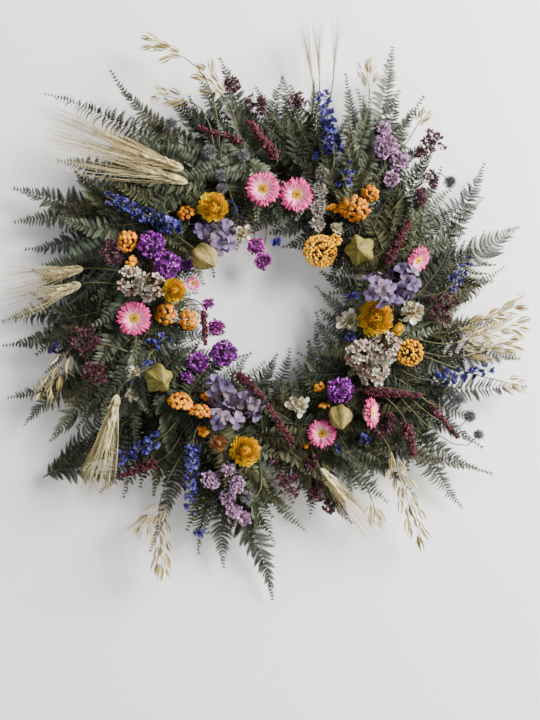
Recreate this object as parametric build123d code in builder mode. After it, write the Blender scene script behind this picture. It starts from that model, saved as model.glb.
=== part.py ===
"""Harvest door wreath: dried flowers and bracken fern bound on a double wire ring.

The wreath stands upright and faces -Y.  The origin is the point inside the hanging loop
where the nail bears, in the plane of the ring wires.  Plan positions are millimetres to
the right of (x) and above (z) the ring centre, and depth is measured forward, towards -Y,
from the plane of the ring wires.
"""

import os
from collections import namedtuple
from math import asin, atan2, ceil, cos, degrees, hypot, radians, sin, sqrt
from random import Random

import numpy as np
from build123d import *

# ---------------------------------------------------------------- driving dimensions (mm)
RING_R = 150.0            # outer ring of a 300 mm wire wreath frame
INNER_RING_R = 110.0
FRAME_WIRE_R = 1.25
BAR_WIRE_R = 1.0
BAR_COUNT = 10

LOOP_WIRE_R = 0.8
LOOP_HALF_WIDTH = 7.0
LOOP_REACH = 26.0         # ring top to the inside of the loop's bend
EYE_R = 2.45              # centre line of the eye that is bent round the ring

STEM_R = 1.4              # bound stems
STEM_PITCH = 3.2
STEMS_PER_POSY = 10
POSY_COUNT = 12
POSY_ROWS = 3             # posies overlap like shingles, three deep
ROW_PITCH = 2.9
PACK_INNER_R = 115.0
POSY_LEAD = 39.0          # degrees before its hour at which a posy's stems start
POSY_SPAN = 71.0          # degrees that its longest stem covers
CONTACT_GAP = 0.05        # between wires and stems that are bound tight
ROOT_GAP = 0.3            # between the binding wire and the plants' roots

BINDING_WIRE_R = 0.4
BINDING_TURNS = 40
BINDING_BEND_R = 1.7      # centre line, where the wire turns round a frame wire

LAYER_BASE = 17.0         # depth of the lowest fern layer above the bound stems
LAYER_PITCH = 2.3
BLADE_THICKNESS = 1.0
STALK_R = 0.8             # stalk of a frond or a flower
CLEARANCE = 0.5           # round a stalk where it passes through a blade
BLADE_FOOT_R = 2.0        # round foot of a blade, where its stalk joins
FROND_BASE_R = 136.0      # fronds spring from the middle of the bound stems
FOOT_PITCH = 5.0          # least distance between the feet of two fronds
HEAD_GAP = 0.8            # between a head and the foliage under it
HEAD_SIDE_GAP = 1.0       # foliage this near beside a head also lifts it
SPIKE_PIECE = 8.0         # a long head is laid over the foliage in steps of this length
AWN_SHEAF_R = 1.5         # sheaf of awns beyond an ear
SPIKE_SLOPE = 0.4         # steepest lie of a long head against the face
HOLE_R = 42.0             # open middle of the wreath
EDGE_R = 290.0
SHELL_INNER_R = 30.0      # fern layers reach a little past both edges
SHELL_OUTER_R = 325.0
MIDRIB_STEPS = 28         # points along a blade where its width is looked at
BLADE_LEAST_HALF = 2.5    # narrowest half width that counts when blades are laid out
BLADE_GAP = 3.0           # between two blades of one layer
SLOT_MARGIN = 6.0         # a stalk this close to a blade's edge gets a slot in it
STALK_GAP = 0.5           # between two stalks
STALK_HEAD_GAP = 0.7      # between a stalk and another plant's head
DOME_TILT = 0.26          # degrees that the face leans outward for each mm of radius
DOME_CROWN_R = 130.0      # radius where the face looks straight ahead
DOME_TILT_IN = 28.0
DOME_TILT_OUT = 36.0

# ---------------------------------------------------------------- frame of the wreath
CENTRE_DROP = RING_R + LOOP_REACH
BAR_DEPTH = FRAME_WIRE_R + BAR_WIRE_R
PACK_BACK = BAR_DEPTH + BAR_WIRE_R
FIRST_ROW = PACK_BACK + STEM_R + CONTACT_GAP
PACK_FRONT = FIRST_ROW + (POSY_ROWS - 1) * ROW_PITCH + STEM_R
ROOT_DEPTH = PACK_FRONT + 2 * BINDING_WIRE_R + STALK_R + ROOT_GAP

CENTRE = Vector(0, 0, -CENTRE_DROP)
FACE = Plane(origin=CENTRE, x_dir=(1, 0, 0), z_dir=(0, -1, 0))
PROFILE = Plane(origin=CENTRE, x_dir=(1, 0, 0), z_dir=(0, 0, -1))
WREATH_AXIS = Axis(CENTRE, (0, -1, 0))

Frond = namedtuple("Frond", "base tip width bow")
Stalk = namedtuple("Stalk", "root top")
Head = namedtuple("Head", "centre axis radius half")

stalks = []               # every stalk that is already in place
covers = []               # plan discs that are taken: x, z, radius, depth of their front
heads = []                # thick discs that stalks keep out of


def polar(radius, angle):
    """Plan position at a radius and an angle, counted from the right, anticlockwise."""
    return radius * cos(radians(angle)), radius * sin(radians(angle))


def spot(x, z, depth):
    """Point of the row's frame at a plan position and a depth."""
    return Vector(x, -depth, z - CENTRE_DROP)


def clock_hour(x, z):
    """Hour of the clock face, 1 to 12, that a plan position lies nearest to."""
    return round((90 - degrees(atan2(z, x))) / 30) % 12 or 12


# ---------------------------------------------------------------- fern layers
def layer_points(level):
    """Three points (radius, depth) of the domed profile of a fern layer."""
    return (40, 0.55 * level + 2), (130, level), (265, 0.5 * level + 2)


def layer_depth(level, radius):
    """Depth of a layer's back at a radius, on the arc through its three points."""
    (x1, y1), (x2, y2), (x3, y3) = layer_points(level)
    d = 2 * (x1 * (y2 - y3) + x2 * (y3 - y1) + x3 * (y1 - y2))
    s1, s2, s3 = x1 * x1 + y1 * y1, x2 * x2 + y2 * y2, x3 * x3 + y3 * y3
    cx = (s1 * (y2 - y3) + s2 * (y3 - y1) + s3 * (y1 - y2)) / d
    cy = (s1 * (x3 - x2) + s2 * (x1 - x3) + s3 * (x2 - x1)) / d
    return cy + sqrt((x1 - cx) ** 2 + (y1 - cy) ** 2 - (radius - cx) ** 2)


def layer_shell(level):
    """Thin shell of revolution that every blade of one layer is cut from."""
    middle = 0.5 * (SHELL_INNER_R + SHELL_OUTER_R)
    near = [(r, layer_depth(level, r)) for r in (SHELL_INNER_R, middle, SHELL_OUTER_R)]
    far = [(r, depth + BLADE_THICKNESS) for r, depth in near]
    with BuildPart() as shell:
        with BuildSketch(PROFILE):
            with BuildLine():
                ThreePointArc(*near)
                Line(near[2], far[2])
                ThreePointArc(*reversed(far))
                Line(far[0], near[0])
            make_face()
        revolve(axis=WREATH_AXIS)
    return shell.part


def midrib(frond):
    """Plan points along a frond with the blade's half width at each."""
    (bx, bz), (tx, tz) = frond.base, frond.tip
    length = hypot(tx - bx, tz - bz)
    nx, nz = -(tz - bz) / length, (tx - bx) / length
    points = []
    for step in range(MIDRIB_STEPS + 1):
        along = step / MIDRIB_STEPS
        swell = 4 * along * (1 - along)
        x = bx + (tx - bx) * along + nx * frond.bow * swell
        z = bz + (tz - bz) * along + nz * frond.bow * swell
        points.append((x, z, max(0.5 * frond.width * swell, BLADE_LEAST_HALF)))
    return points


def blades_meet(one, other):
    """Whether two blades would touch if they lay in the same layer."""
    a, b = np.array(midrib(one)), np.array(midrib(other))
    gap = np.hypot(a[:, None, 0] - b[None, :, 0], a[:, None, 1] - b[None, :, 1])
    return bool((gap < a[:, None, 2] + b[None, :, 2] + BLADE_GAP).any())


def stack(fronds):
    """Give each frond the lowest layer that has room for it."""
    layers = []
    placed = []
    for frond in fronds:
        for number, layer in enumerate(layers):
            if not any(blades_meet(frond, other) for other in layer):
                break
        else:
            number = len(layers)
            layers.append([])
        layers[number].append(frond)
        placed.append((frond, number))
    return placed


def level_of(number):
    """Depth of a layer at the crown of the dome."""
    return LAYER_BASE + LAYER_PITCH * number


# ---------------------------------------------------------------- stalks
def misses_stalks(samples, feet, runs):
    """Whether points along a new stalk stay clear of the stalks that stand already."""
    offset = samples[:, None, :] - feet[None, :, :]
    along = np.clip((offset * runs).sum(2) / (runs * runs).sum(1), 0, 1)
    gap = np.linalg.norm(offset - along[:, :, None] * runs, axis=2)
    return not (gap < 2 * STALK_R + STALK_GAP).any()


def misses_heads(samples, centres, axes, sizes):
    """Whether points along a new stalk stay out of the heads, taken as thick discs."""
    offset = samples[:, None, :] - centres[None, :, :]
    along = (offset * axes).sum(2)
    across = np.linalg.norm(offset - along[:, :, None] * axes, axis=2)
    margin = STALK_R + STALK_HEAD_GAP
    return not ((np.abs(along) < sizes[:, 1] + margin) & (across < sizes[:, 0] + margin)).any()


def root_slots(x, z):
    """Places on the bound stems for a stalk's root, the most natural one first."""
    radius, angle = hypot(x, z), degrees(atan2(z, x))
    share = min(max((radius - HOLE_R) / (EDGE_R - HOLE_R), 0), 1)
    last_r = PACK_INNER_R + (STEMS_PER_POSY - 1) * STEM_PITCH
    wanted = PACK_INNER_R + (last_r - PACK_INNER_R) * share
    slots = [(abs(shift) + 2.3 * abs(turn), wanted + shift, angle + turn)
             for shift in np.arange(-27, 27.1, 1.5) for turn in np.arange(-16, 16.1, 1.0)
             if PACK_INNER_R <= wanted + shift <= last_r]
    return [(root_r, root_angle) for _, root_r, root_angle in sorted(slots)]


def plant_stalk(x, z, depth, own_reach=0.0):
    """Root a stalk in the nearest free place on the bound stems, and return it."""
    top = spot(x, z, depth)
    feet = np.array([tuple(stalk.root) for stalk in stalks] or [(1e4, 0, 0)])
    runs = np.array([tuple(stalk.top - stalk.root) for stalk in stalks] or [(0, 0, 1)])
    centres = np.array([tuple(head.centre) for head in heads] or [(1e4, 0, 0)])
    axes = np.array([tuple(head.axis) for head in heads] or [(0, 0, 1)])
    sizes = np.array([(head.radius, head.half) for head in heads] or [(1, 1)])
    end = np.array(tuple(top))
    for root_r, root_angle in root_slots(x, z):
        root = spot(*polar(root_r, root_angle), ROOT_DEPTH)
        start = np.array(tuple(root))
        samples = start + (end - start) * np.linspace(0, 1, 21)[:, None]
        outside = samples[np.linalg.norm(samples - end, axis=1) >= own_reach]
        if misses_stalks(samples, feet, runs) and misses_heads(outside, centres, axes, sizes):
            stalk = Stalk(root, top)
            stalks.append(stalk)
            for point in samples[:18]:
                covers.append((point[0], point[2] + CENTRE_DROP, STALK_R, STALK_R - point[1]))
            return stalk
    raise ValueError(f"no room for the stalk at {x:.0f}, {z:.0f}")


def stalk_solid(stalk, radius):
    """Straight round bar between a stalk's ends."""
    run = stalk.top - stalk.root
    with BuildPart() as bar:
        with BuildSketch(Plane(origin=stalk.root, z_dir=run)):
            Circle(radius)
        extrude(amount=run.length)
    return bar.part


# ---------------------------------------------------------------- fern fronds
# Fronds that make the outline: tip radius, tip angle, heading at the tip, width
OUTLINE_FRONDS = [
    (312, 137, 160, 40), (255, 146, 165, 42), (280, 156, 164, 46), (270, 163, 191, 42),
    (251, 168, 197, 38), (226, 171, 182, 38), (239, 178, 152, 30), (271, 185, 185, 42),
    (270, 190, 200, 38), (281, 201, 193, 48), (277, 208, 216, 48), (262, 214, 223, 44),
    (291, 219, 207, 38), (258, 230, 235, 44), (250, 235, 252, 40), (283, 246, 252, 28),
    (268, 256, 262, 42), (282, 262, 271, 44), (312, 272, 303, 56), (264, 268, 280, 38),
    (252, 273, 292, 36), (243, 281, 308, 40), (250, 292, 300, 38), (247, 302, 313, 38),
    (302, 314, 307, 40), (240, 308, 322, 38), (300, 323, 345, 28), (252, 331, 340, 42),
    (286, 342, 5, 46), (274, 347, 352, 46), (250, 355, 5, 38), (252, 8, 40, 40),
    (277, 16, 33, 56), (271, 32, 55, 46), (250, 25, 45, 38), (247, 43, 62, 38),
    (247, 52, 72, 42), (297, 63, 82, 44), (258, 57, 74, 38), (250, 70, 110, 32),
    (232, 77, 96, 36), (212, 84, 108, 32), (218, 92, 118, 34), (237, 106, 126, 40),
    (252, 100, 116, 38), (228, 116, 138, 38), (232, 126, 146, 38),
]

# Shorter fronds that cover the face: count, base radius, tip radius, swirl, width
RINGS_OF_FRONDS = [
    (30, 130, 226, 20, 36),
    (26, 120, 62, 26, 26),
    (22, 132, 196, 34, 34),
    (20, 138, 80, -28, 28),
]
SWIRL_STEP = 7.0          # how far neighbouring fronds of a ring lean apart
FERN_SEED = 11


def free_foot(radius, angle, feet):
    """Place near a radius and angle on the bound stems that no other frond springs from."""
    shifts = sorted(((dr, da) for dr in range(-15, 16, 3) for da in np.arange(-6, 6.1, 1.2)),
                    key=lambda shift: abs(shift[0]) + 2 * abs(shift[1]))
    for shift, turn in shifts:
        foot_r = radius + shift
        foot = polar(foot_r, angle + turn)
        on_pack = PACK_INNER_R <= foot_r <= PACK_INNER_R + (STEMS_PER_POSY - 1) * STEM_PITCH
        if on_pack and all(hypot(foot[0] - x, foot[1] - z) > FOOT_PITCH for x, z in feet):
            feet.append(foot)
            return foot
    raise ValueError(f"no foot is free at {radius:.0f}, {angle:.0f}")


def fronds_of_wreath():
    """All fronds, from the outline inwards."""
    uneven = Random(FERN_SEED)
    fronds = []
    feet = []
    for radius, angle, heading, width in OUTLINE_FRONDS:
        base_r = FROND_BASE_R + uneven.uniform(-7, 7)
        swing = radians(heading - angle)
        offset = max(-0.8, min(0.8, radius * sin(swing) / base_r))
        turn = degrees(asin(offset) - asin(offset * base_r / radius))
        bow = uneven.uniform(-6, 6)
        foot = free_foot(base_r, angle - turn, feet)
        fronds.append(Frond(foot, polar(radius, angle), width, bow))
    for count, base_r, tip_r, swirl, width in RINGS_OF_FRONDS:
        for number in range(count):
            angle = 360 * (number + uneven.uniform(-0.3, 0.3)) / count
            lean = swirl + uneven.uniform(-SWIRL_STEP, SWIRL_STEP)
            base = free_foot(base_r + uneven.uniform(-6, 6), angle, feet)
            tip = polar(tip_r + uneven.uniform(-8, 8), angle + lean)
            fronds.append(Frond(base, tip, width * uneven.uniform(0.85, 1.1), uneven.uniform(-5, 5)))
    return fronds


def note_blade(frond, level):
    """Mark the plan discs that a blade covers."""
    for x, z, half in midrib(frond):
        front = layer_depth(level, hypot(x, z)) + BLADE_THICKNESS
        covers.append((x, z, half, front))


def crossing(stalk, level):
    """Plan ends of the stretch where a stalk goes through a layer, or None."""
    inside = []
    for share in np.linspace(0, 1, 81):
        p = stalk.root + (stalk.top - stalk.root) * float(share)
        x, z = p.X, p.Z + CENTRE_DROP
        back = layer_depth(level, hypot(x, z))
        reach = STALK_R + CLEARANCE
        if back - reach < -p.Y < back + BLADE_THICKNESS + reach:
            inside.append((x, z))
    return (inside[0], inside[-1]) if inside else None


def slots_in(frond, level, own):
    """Slots that stalks need in a blade: middle, length between end centres, direction."""
    line = np.array(midrib(frond))
    slots = []
    for stalk in stalks:
        ends = None if stalk is own else crossing(stalk, level)
        if ends is None:
            continue
        (x0, z0), (x1, z1) = ends
        for share in (0.0, 0.5, 1.0):
            gap = np.hypot(line[:, 0] - x0 - (x1 - x0) * share, line[:, 1] - z0 - (z1 - z0) * share)
            if (gap - line[:, 2]).min() < SLOT_MARGIN:
                middle = (0.5 * (x0 + x1), 0.5 * (z0 + z1))
                direction = degrees(atan2(z1 - z0, x1 - x0))
                slots.append((middle, max(hypot(x1 - x0, z1 - z0), 0.2), direction))
                break
    return slots


def fern_frond(frond, level, stalk, shell):
    """One frond: a lens-shaped blade of its layer's shell on a stalk, with room for others."""
    x0, z0 = frond.base
    x1, z1 = frond.tip
    length = hypot(x1 - x0, z1 - z0)
    nx, nz = -(z1 - z0) / length, (x1 - x0) / length
    mx, mz = 0.5 * (x0 + x1), 0.5 * (z0 + z1)
    left, right = frond.bow + 0.5 * frond.width, frond.bow - 0.5 * frond.width
    slot_width = 2 * (STALK_R + CLEARANCE)
    with BuildSketch(FACE) as outline:
        with BuildLine():
            ThreePointArc((x0, z0), (mx + nx * left, mz + nz * left), (x1, z1))
            ThreePointArc((x1, z1), (mx + nx * right, mz + nz * right), (x0, z0))
        make_face()
        with Locations(frond.base):
            Circle(BLADE_FOOT_R)
        for middle, run, direction in slots_in(frond, level, stalk):
            with Locations(middle):
                SlotCenterToCenter(run, slot_width, rotation=direction, mode=Mode.SUBTRACT)
    largest = max(outline.sketch.faces(), key=lambda face: face.area)
    with BuildPart() as blade:
        extrude(to_extrude=largest, amount=EDGE_R, dir=FACE.z_dir)
        add(shell, mode=Mode.INTERSECT)
        add(stalk_solid(stalk, STALK_R))
    return max(blade.part.solids(), key=lambda solid: solid.volume)


# ---------------------------------------------------------------- flower heads
def front_over(x, z, reach):
    """Depth of whatever lies foremost within reach of a plan position."""
    taken = np.array(covers)
    near = np.hypot(taken[:, 0] - x, taken[:, 1] - z) < taken[:, 2] + reach
    return float(taken[near, 3].max()) if near.any() else ROOT_DEPTH + 4


def facing(x, z, lean, heading):
    """Direction a head looks: square to the domed face, then leaned over towards a heading."""
    radius = hypot(x, z)
    outward = max(-DOME_TILT_IN, min(DOME_TILT_OUT, DOME_TILT * (radius - DOME_CROWN_R)))
    px, pz = sin(radians(outward)) * x / radius, sin(radians(outward)) * z / radius
    lx, lz = polar(sin(radians(lean)), heading)
    return Vector(px + lx, -cos(radians(outward)) * cos(radians(lean)), pz + lz).normalized()


def turned_solid(centre, axis, outline):
    """Solid of revolution from outline points (radius, distance along the axis)."""
    side = axis.cross(Vector(0, 0, 1) if abs(axis.Z) < 0.9 else Vector(1, 0, 0)).normalized()
    with BuildPart() as body:
        with BuildSketch(Plane(origin=centre, x_dir=side, z_dir=side.cross(axis))):
            with BuildLine():
                Polyline(*outline, close=True)
            make_face()
        revolve(axis=Axis(centre, axis))
    return body.part


def on_stalk(body, stalk):
    """Head and stalk as one solid."""
    with BuildPart() as plant:
        add(body)
        add(stalk_solid(stalk, STALK_R))
    return plant.part


# Heads as (radius, distance along the axis) for a head of radius 1
DISC_HEAD = [(0, -0.42), (0.34, -0.38), (1, 0.02), (0.85, 0.28), (0.4, 0.42), (0, 0.42)]
FLAT_BACKED_HEAD = [(0, -0.42), (0.34, -0.42), (1, 0.02), (0.85, 0.28), (0.4, 0.42), (0, 0.42)]
DOME_HEAD = [(0, -0.62), (0.5, -0.5), (0.95, -0.12), (0.9, 0.3), (0.55, 0.6), (0, 0.68)]
LANTERN_HEAD = [(0, -0.95), (0.55, -0.85), (0.98, -0.3), (0.92, 0.3), (0.4, 0.95), (0, 1.25)]
BALL_HEAD = [(sin(radians(a)), -cos(radians(a))) for a in range(0, 181, 20)]


def head(outline, x, z, radius, lean=0.0, heading=0.0):
    """A head that rests on what lies under it, with its stalk down to the bound stems."""
    axis = facing(x, z, lean, heading)
    tilt = hypot(axis.X, axis.Z)
    back = -outline[0][1] * radius
    low = max(r * tilt * radius - v * radius * -axis.Y for r, v in outline)
    depth = front_over(x, z, radius + HEAD_SIDE_GAP) + HEAD_GAP + max(low, back * -axis.Y)
    centre = spot(x, z, depth)
    stalk = plant_stalk(x, z, depth, own_reach=1.4 * radius)
    reach = max(abs(v) for _, v in outline) * radius
    covers.append((x, z, radius, depth + max(reach, tilt * radius)))
    heads.append(Head(centre, axis, radius, reach))
    body = turned_solid(centre, axis, [(r * radius, v * radius) for r, v in outline])
    return on_stalk(body, stalk)


def spike(start, end, radius, beard=None):
    """A slender head from start to end that lies along the face.

    With a beard, it tapers on to that further length as a sheaf of awns.
    """
    (x0, z0), (x1, z1) = start, end
    length = hypot(x1 - x0, z1 - z0)
    whole = length + (beard or 0)
    hx, hz = (x1 - x0) / length, (z1 - z0) / length
    pieces = max(4, ceil(whole / SPIKE_PIECE))
    shares = [i / pieces for i in range(pieces + 1)]
    needed = []
    for share in shares:
        x, z = x0 + hx * whole * share, z0 + hz * whole * share
        needed.append(front_over(x, z, radius + HEAD_SIDE_GAP) + radius + HEAD_GAP)
    first, last = max(needed[:2]), max(needed[-2:])
    first, last = max(first, last - SPIKE_SLOPE * whole), max(last, first - SPIKE_SLOPE * whole)
    lift = max(n - (first + (last - first) * s) for n, s in zip(needed, shares))
    first, last = first + max(lift, 0), last + max(lift, 0)
    base, tip = spot(x0, z0, first), spot(x0 + hx * whole, z0 + hz * whole, last)
    axis = (tip - base).normalized()
    whole = (tip - base).length
    ear = whole - (beard or 0)
    outline = [(0, 0), (1.3, 0), (radius, 0.3 * ear), (0.8 * radius, 0.75 * ear), (1.2, ear)]
    outline += [(1.0, whole - 0.2), (0, whole)] if beard else [(0, ear + 0.6)]
    stalk = plant_stalk(x0, z0, first, own_reach=radius + 4)
    for share in shares:
        p = base + (tip - base) * float(share)
        thick = radius if not beard or share < ear / whole else AWN_SHEAF_R
        covers.append((p.X, p.Z + CENTRE_DROP, thick, -p.Y + thick))
        heads.append(Head(p, axis, thick, 0.5 * whole / pieces))
    return on_stalk(turned_solid(base, axis, outline), stalk)


# Round heads: x, z, radius, then lean and heading for those that look aside
YELLOW_STRAWFLOWERS = [
    (-49, 92, 14), (-88, 8, 11), (114, -20, 17), (137, -31, 7, 35, -40), (-17, -154, 14),
]
APRICOT_STRAWFLOWERS = [(-44, -146, 8)]
PINK_DAISIES = [
    (1, 110, 14.5), (35, 104, 14.5), (-129, -20, 15), (157, 40, 12, 40, -35),
    (108, -116, 13, 55, 0), (61, -137, 12), (-70, 16, 6),
]
CREAM_EVERLASTINGS = [
    (154, -13, 10), (86, -22, 9), (36, -107, 9.5), (-19, 66, 8), (-129, -74, 6.5),
    (-131, -96, 6), (76, 71, 6),
]
LANTERN_PODS = [
    (-58, 42, 13, 62, -50), (98, 48, 14, 6, 80), (-104, -81, 13, 40, -20), (79, -120, 11, 66, -95),
]
PURPLE_STATICE = [
    (-111, 54, 12), (-95, 33, 12), (-76, 34, 5), (79, -92, 12), (-38, -54, 11), (-64, -63, 9),
    (-76, -80, 6),
]
MAGENTA_STATICE = [(-6, 53, 7.5), (1, 38, 7), (-46, -28, 7), (-55, -4, 5)]
LILAC_STATICE = [
    (126, 156, 10.5), (140, 140, 8), (132, 122, 7), (125, 174, 6), (-52, -184, 8),
    (-33, -172, 6.5), (-25, -188, 7), (-35, -201, 7), (-29, -215, 7), (-18, -224, 6),
]
PURPLE_HYDRANGEA = [
    (115, 9, 13), (143, 17, 13), (131, -8, 8), (-39, -95, 12.5), (-15, -107, 11.5),
    (-36, -122, 11.5), (-41, 63, 12), (-62, 72, 7),
]
WHITE_HYDRANGEA = [
    (-133, 18, 10.5), (-110, 11, 10.5), (97, -55, 12), (124, -51, 13), (113, -75, 11),
]
PEARLY_STATICE = [(61, 126, 6.5), (58, 110, 7.3), (56, 92, 8), (56, 76, 7)]
TANSY_BUTTONS = [
    (-137, 58, 9), (-132, 37, 6), (-76, 87, 8), (-97, -15, 9), (-73, -21, 8), (94, 93, 13),
    (110, 107, 7), (72, 90, 6), (-83, -107, 10.5), (-62, -117, 9.5), (-59, -134, 5),
    (58, -89, 4.5), (63, -109, 4.5), (44, -147, 4.5), (-57, -99, 4),
]
YARROW_HEADS = [(58, 47, 14), (74, 59, 5), (150, -55, 11)]
OREGANO_SPRIGS = [
    (-30, 221, 5.5), (-5, 199, 8), (35, 201, 6), (174, 160, 11), (159, 150, 5), (173, 124, 6),
    (163, 104, 6), (185, -9, 12), (-179, -42, 12), (-170, -76, 11), (-151, 46, 10), (50, -166, 6),
    (28, -190, 11), (55, -198, 8), (70, -212, 7), (131, -124, 5.5), (12, -161, 5), (122, -134, 5),
]
GLOBE_THISTLES = [
    (-94, 179, 6), (-54, 148, 6.5), (-41, 124, 5), (-41, 112, 5), (-19, 144, 5.5),
    (200, -101, 6), (213, -119, 6), (222, -138, 5), (-16, -201, 6), (192, 119, 6),
]
LARKSPUR_FLORETS = [
    (91, 2, 5.5), (88, -38, 4.8), (77, -152, 5), (-212, -50, 5), (-131, -85, 3.5), (13, 58, 5),
    (106, -144, 5.5), (-65, -238, 5), (54, 145, 4.5),
]

# Long heads: start, end, radius
LARKSPUR = [
    ((72, 145), (62, 211), 8), ((82, 113), (90, 136), 6), ((-83, 68), (-157, 103), 8),
    ((-96, -38), (-112, -48), 6), ((-112, -60), (-117, -70), 5), ((-105, -142), (-148, -164), 7),
    ((-69, -146), (-74, -216), 7), ((177, -82), (236, -70), 7), ((191, 13), (212, 40), 6),
    ((-30, 100), (-24, 84), 4),
]
AMARANTH = [
    ((103, -93), (160, -98), 5.5), ((169, -106), (200, -141), 4), ((-24, -76), (2, -100), 5),
    ((6, -106), (31, -148), 4.5), ((149, 78), (126, 35), 6), ((-59, -13), (-58, -46), 4),
    ((-64, 174), (-19, 158), 5), ((-12, 180), (14, 142), 7), ((146, -128), (154, -158), 7),
    ((-108, -166), (-143, -180), 5.5),
]
# Ears with awns: start, end, radius, length of the awns
BARLEY = [
    ((-77, 118), (-121, 131), 5, 112), ((-81, 131), (-146, 154), 5, 80),
    ((60, -173), (82, -201), 5, 54), ((-182, 30), (-212, 25), 5, 58),
    ((-184, 14), (-212, 5), 5, 56), ((-145, -98), (-158, -148), 6, 60),
]
OATS = [
    ((-38, 205), (-66, 240), 7), ((-80, 247), (-124, 268), 6), ((-74, 200), (-114, 211), 7),
    ((109, 213), (105, 244), 6), ((202, -31), (272, -1), 6), ((197, -44), (272, -22), 6),
    ((206, -58), (268, -41), 6), ((246, -84), (268, -88), 5), ((131, -156), (166, -255), 8),
    ((112, -205), (120, -230), 6), ((-99, -210), (-135, -240), 7), ((-104, -222), (-101, -284), 7),
    ((-197, -54), (-227, -103), 7), ((158, 177), (166, 193), 5),
]
AWN_GRASS = [((52, 224), (39, 288), 3), ((59, 225), (57, 290), 3), ((73, 228), (78, 291), 3)]

ROUND_HEADS = {
    "yellow_strawflowers": (FLAT_BACKED_HEAD, YELLOW_STRAWFLOWERS),
    "apricot_strawflower": (DISC_HEAD, APRICOT_STRAWFLOWERS),
    "pink_paper_daisies": (DISC_HEAD, PINK_DAISIES),
    "cream_everlastings": (DISC_HEAD, CREAM_EVERLASTINGS),
    "lantern_pods": (LANTERN_HEAD, LANTERN_PODS),
    "purple_hydrangea": (DOME_HEAD, PURPLE_HYDRANGEA),
    "white_hydrangea": (DOME_HEAD, WHITE_HYDRANGEA),
    "purple_statice": (DOME_HEAD, PURPLE_STATICE),
    "magenta_statice": (DOME_HEAD, MAGENTA_STATICE),
    "pearly_statice": (DOME_HEAD, PEARLY_STATICE),
    "tansy_buttons": (DOME_HEAD, TANSY_BUTTONS),
    "yarrow_heads": (DOME_HEAD, YARROW_HEADS),
    "lilac_statice": (DOME_HEAD, LILAC_STATICE),
    "oregano_sprigs": (DOME_HEAD, OREGANO_SPRIGS),
    "globe_thistles": (BALL_HEAD, GLOBE_THISTLES),
    "larkspur_florets": (DOME_HEAD, LARKSPUR_FLORETS),
}
LONG_HEADS = {
    "larkspur_sprays": LARKSPUR,
    "amaranth_tassels": AMARANTH,
    "barley_ears": BARLEY,
    "oat_sprays": OATS,
    "awn_grass": AWN_GRASS,
}

# ---------------------------------------------------------------- the wire frame
os.makedirs("parts", exist_ok=True)


def frame_ring(radius):
    """Closed hoop of frame wire."""
    with BuildPart() as hoop:
        with BuildSketch(PROFILE):
            with Locations((radius, 0)):
                Circle(FRAME_WIRE_R)
        revolve(axis=WREATH_AXIS)
    return hoop.part


with BuildPart() as outer_frame_ring:
    add(frame_ring(RING_R))
with BuildPart() as inner_frame_ring:
    add(frame_ring(INNER_RING_R))

with BuildPart() as frame_cross_bars:
    bar_start = INNER_RING_R - FRAME_WIRE_R
    bar_length = RING_R - INNER_RING_R + 2 * FRAME_WIRE_R
    for number in range(BAR_COUNT):
        angle = 360 * number / BAR_COUNT
        outward = Vector(cos(radians(angle)), 0, sin(radians(angle)))
        bar_origin = spot(*polar(bar_start, angle), BAR_DEPTH)
        with BuildSketch(Plane(origin=bar_origin, z_dir=outward)):
            Circle(BAR_WIRE_R)
        extrude(amount=bar_length)

with BuildPart() as hanging_loop:
    ring_top = sqrt(RING_R ** 2 - LOOP_HALF_WIDTH ** 2) - CENTRE_DROP
    bend_z = LOOP_WIRE_R - LOOP_HALF_WIDTH
    leg_foot = ring_top + EYE_R
    with BuildLine() as loop_path:
        Line((-LOOP_HALF_WIDTH, 0, leg_foot), (-LOOP_HALF_WIDTH, 0, bend_z))
        ThreePointArc((-LOOP_HALF_WIDTH, 0, bend_z), (0, 0, bend_z + LOOP_HALF_WIDTH),
                      (LOOP_HALF_WIDTH, 0, bend_z))
        Line((LOOP_HALF_WIDTH, 0, bend_z), (LOOP_HALF_WIDTH, 0, leg_foot))
    with BuildSketch(Plane(origin=(-LOOP_HALF_WIDTH, 0, leg_foot), z_dir=(0, 0, 1))):
        Circle(LOOP_WIRE_R)
    sweep(path=loop_path.line)
    for x in (-LOOP_HALF_WIDTH, LOOP_HALF_WIDTH):
        with BuildSketch(Plane(origin=(x, 0, ring_top), x_dir=(0, 0, 1), z_dir=(0, 1, 0))):
            with Locations((EYE_R, 0)):
                Circle(LOOP_WIRE_R)
        revolve(axis=Axis((x, 0, ring_top), (1, 0, 0)))


# ---------------------------------------------------------------- bound stems and their wire
def posy_stems(number):
    """Ten stems side by side, bent round the ring."""
    uneven = Random(number)
    depth = FIRST_ROW + ROW_PITCH * (number % POSY_ROWS)
    middle = 90 - 360 * number / POSY_COUNT
    with BuildPart() as posy:
        for column in range(STEMS_PER_POSY):
            start = middle - POSY_LEAD + uneven.uniform(0, 7)
            span = POSY_SPAN - uneven.uniform(0, 9)
            section = Plane(CENTRE, x_dir=(cos(radians(start)), 0, sin(radians(start))),
                            z_dir=(sin(radians(start)), 0, -cos(radians(start))))
            with BuildSketch(section):
                with Locations((PACK_INNER_R + STEM_PITCH * column, depth)):
                    Circle(STEM_R)
            revolve(axis=WREATH_AXIS, revolution_arc=-span)
    return posy.part


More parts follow.
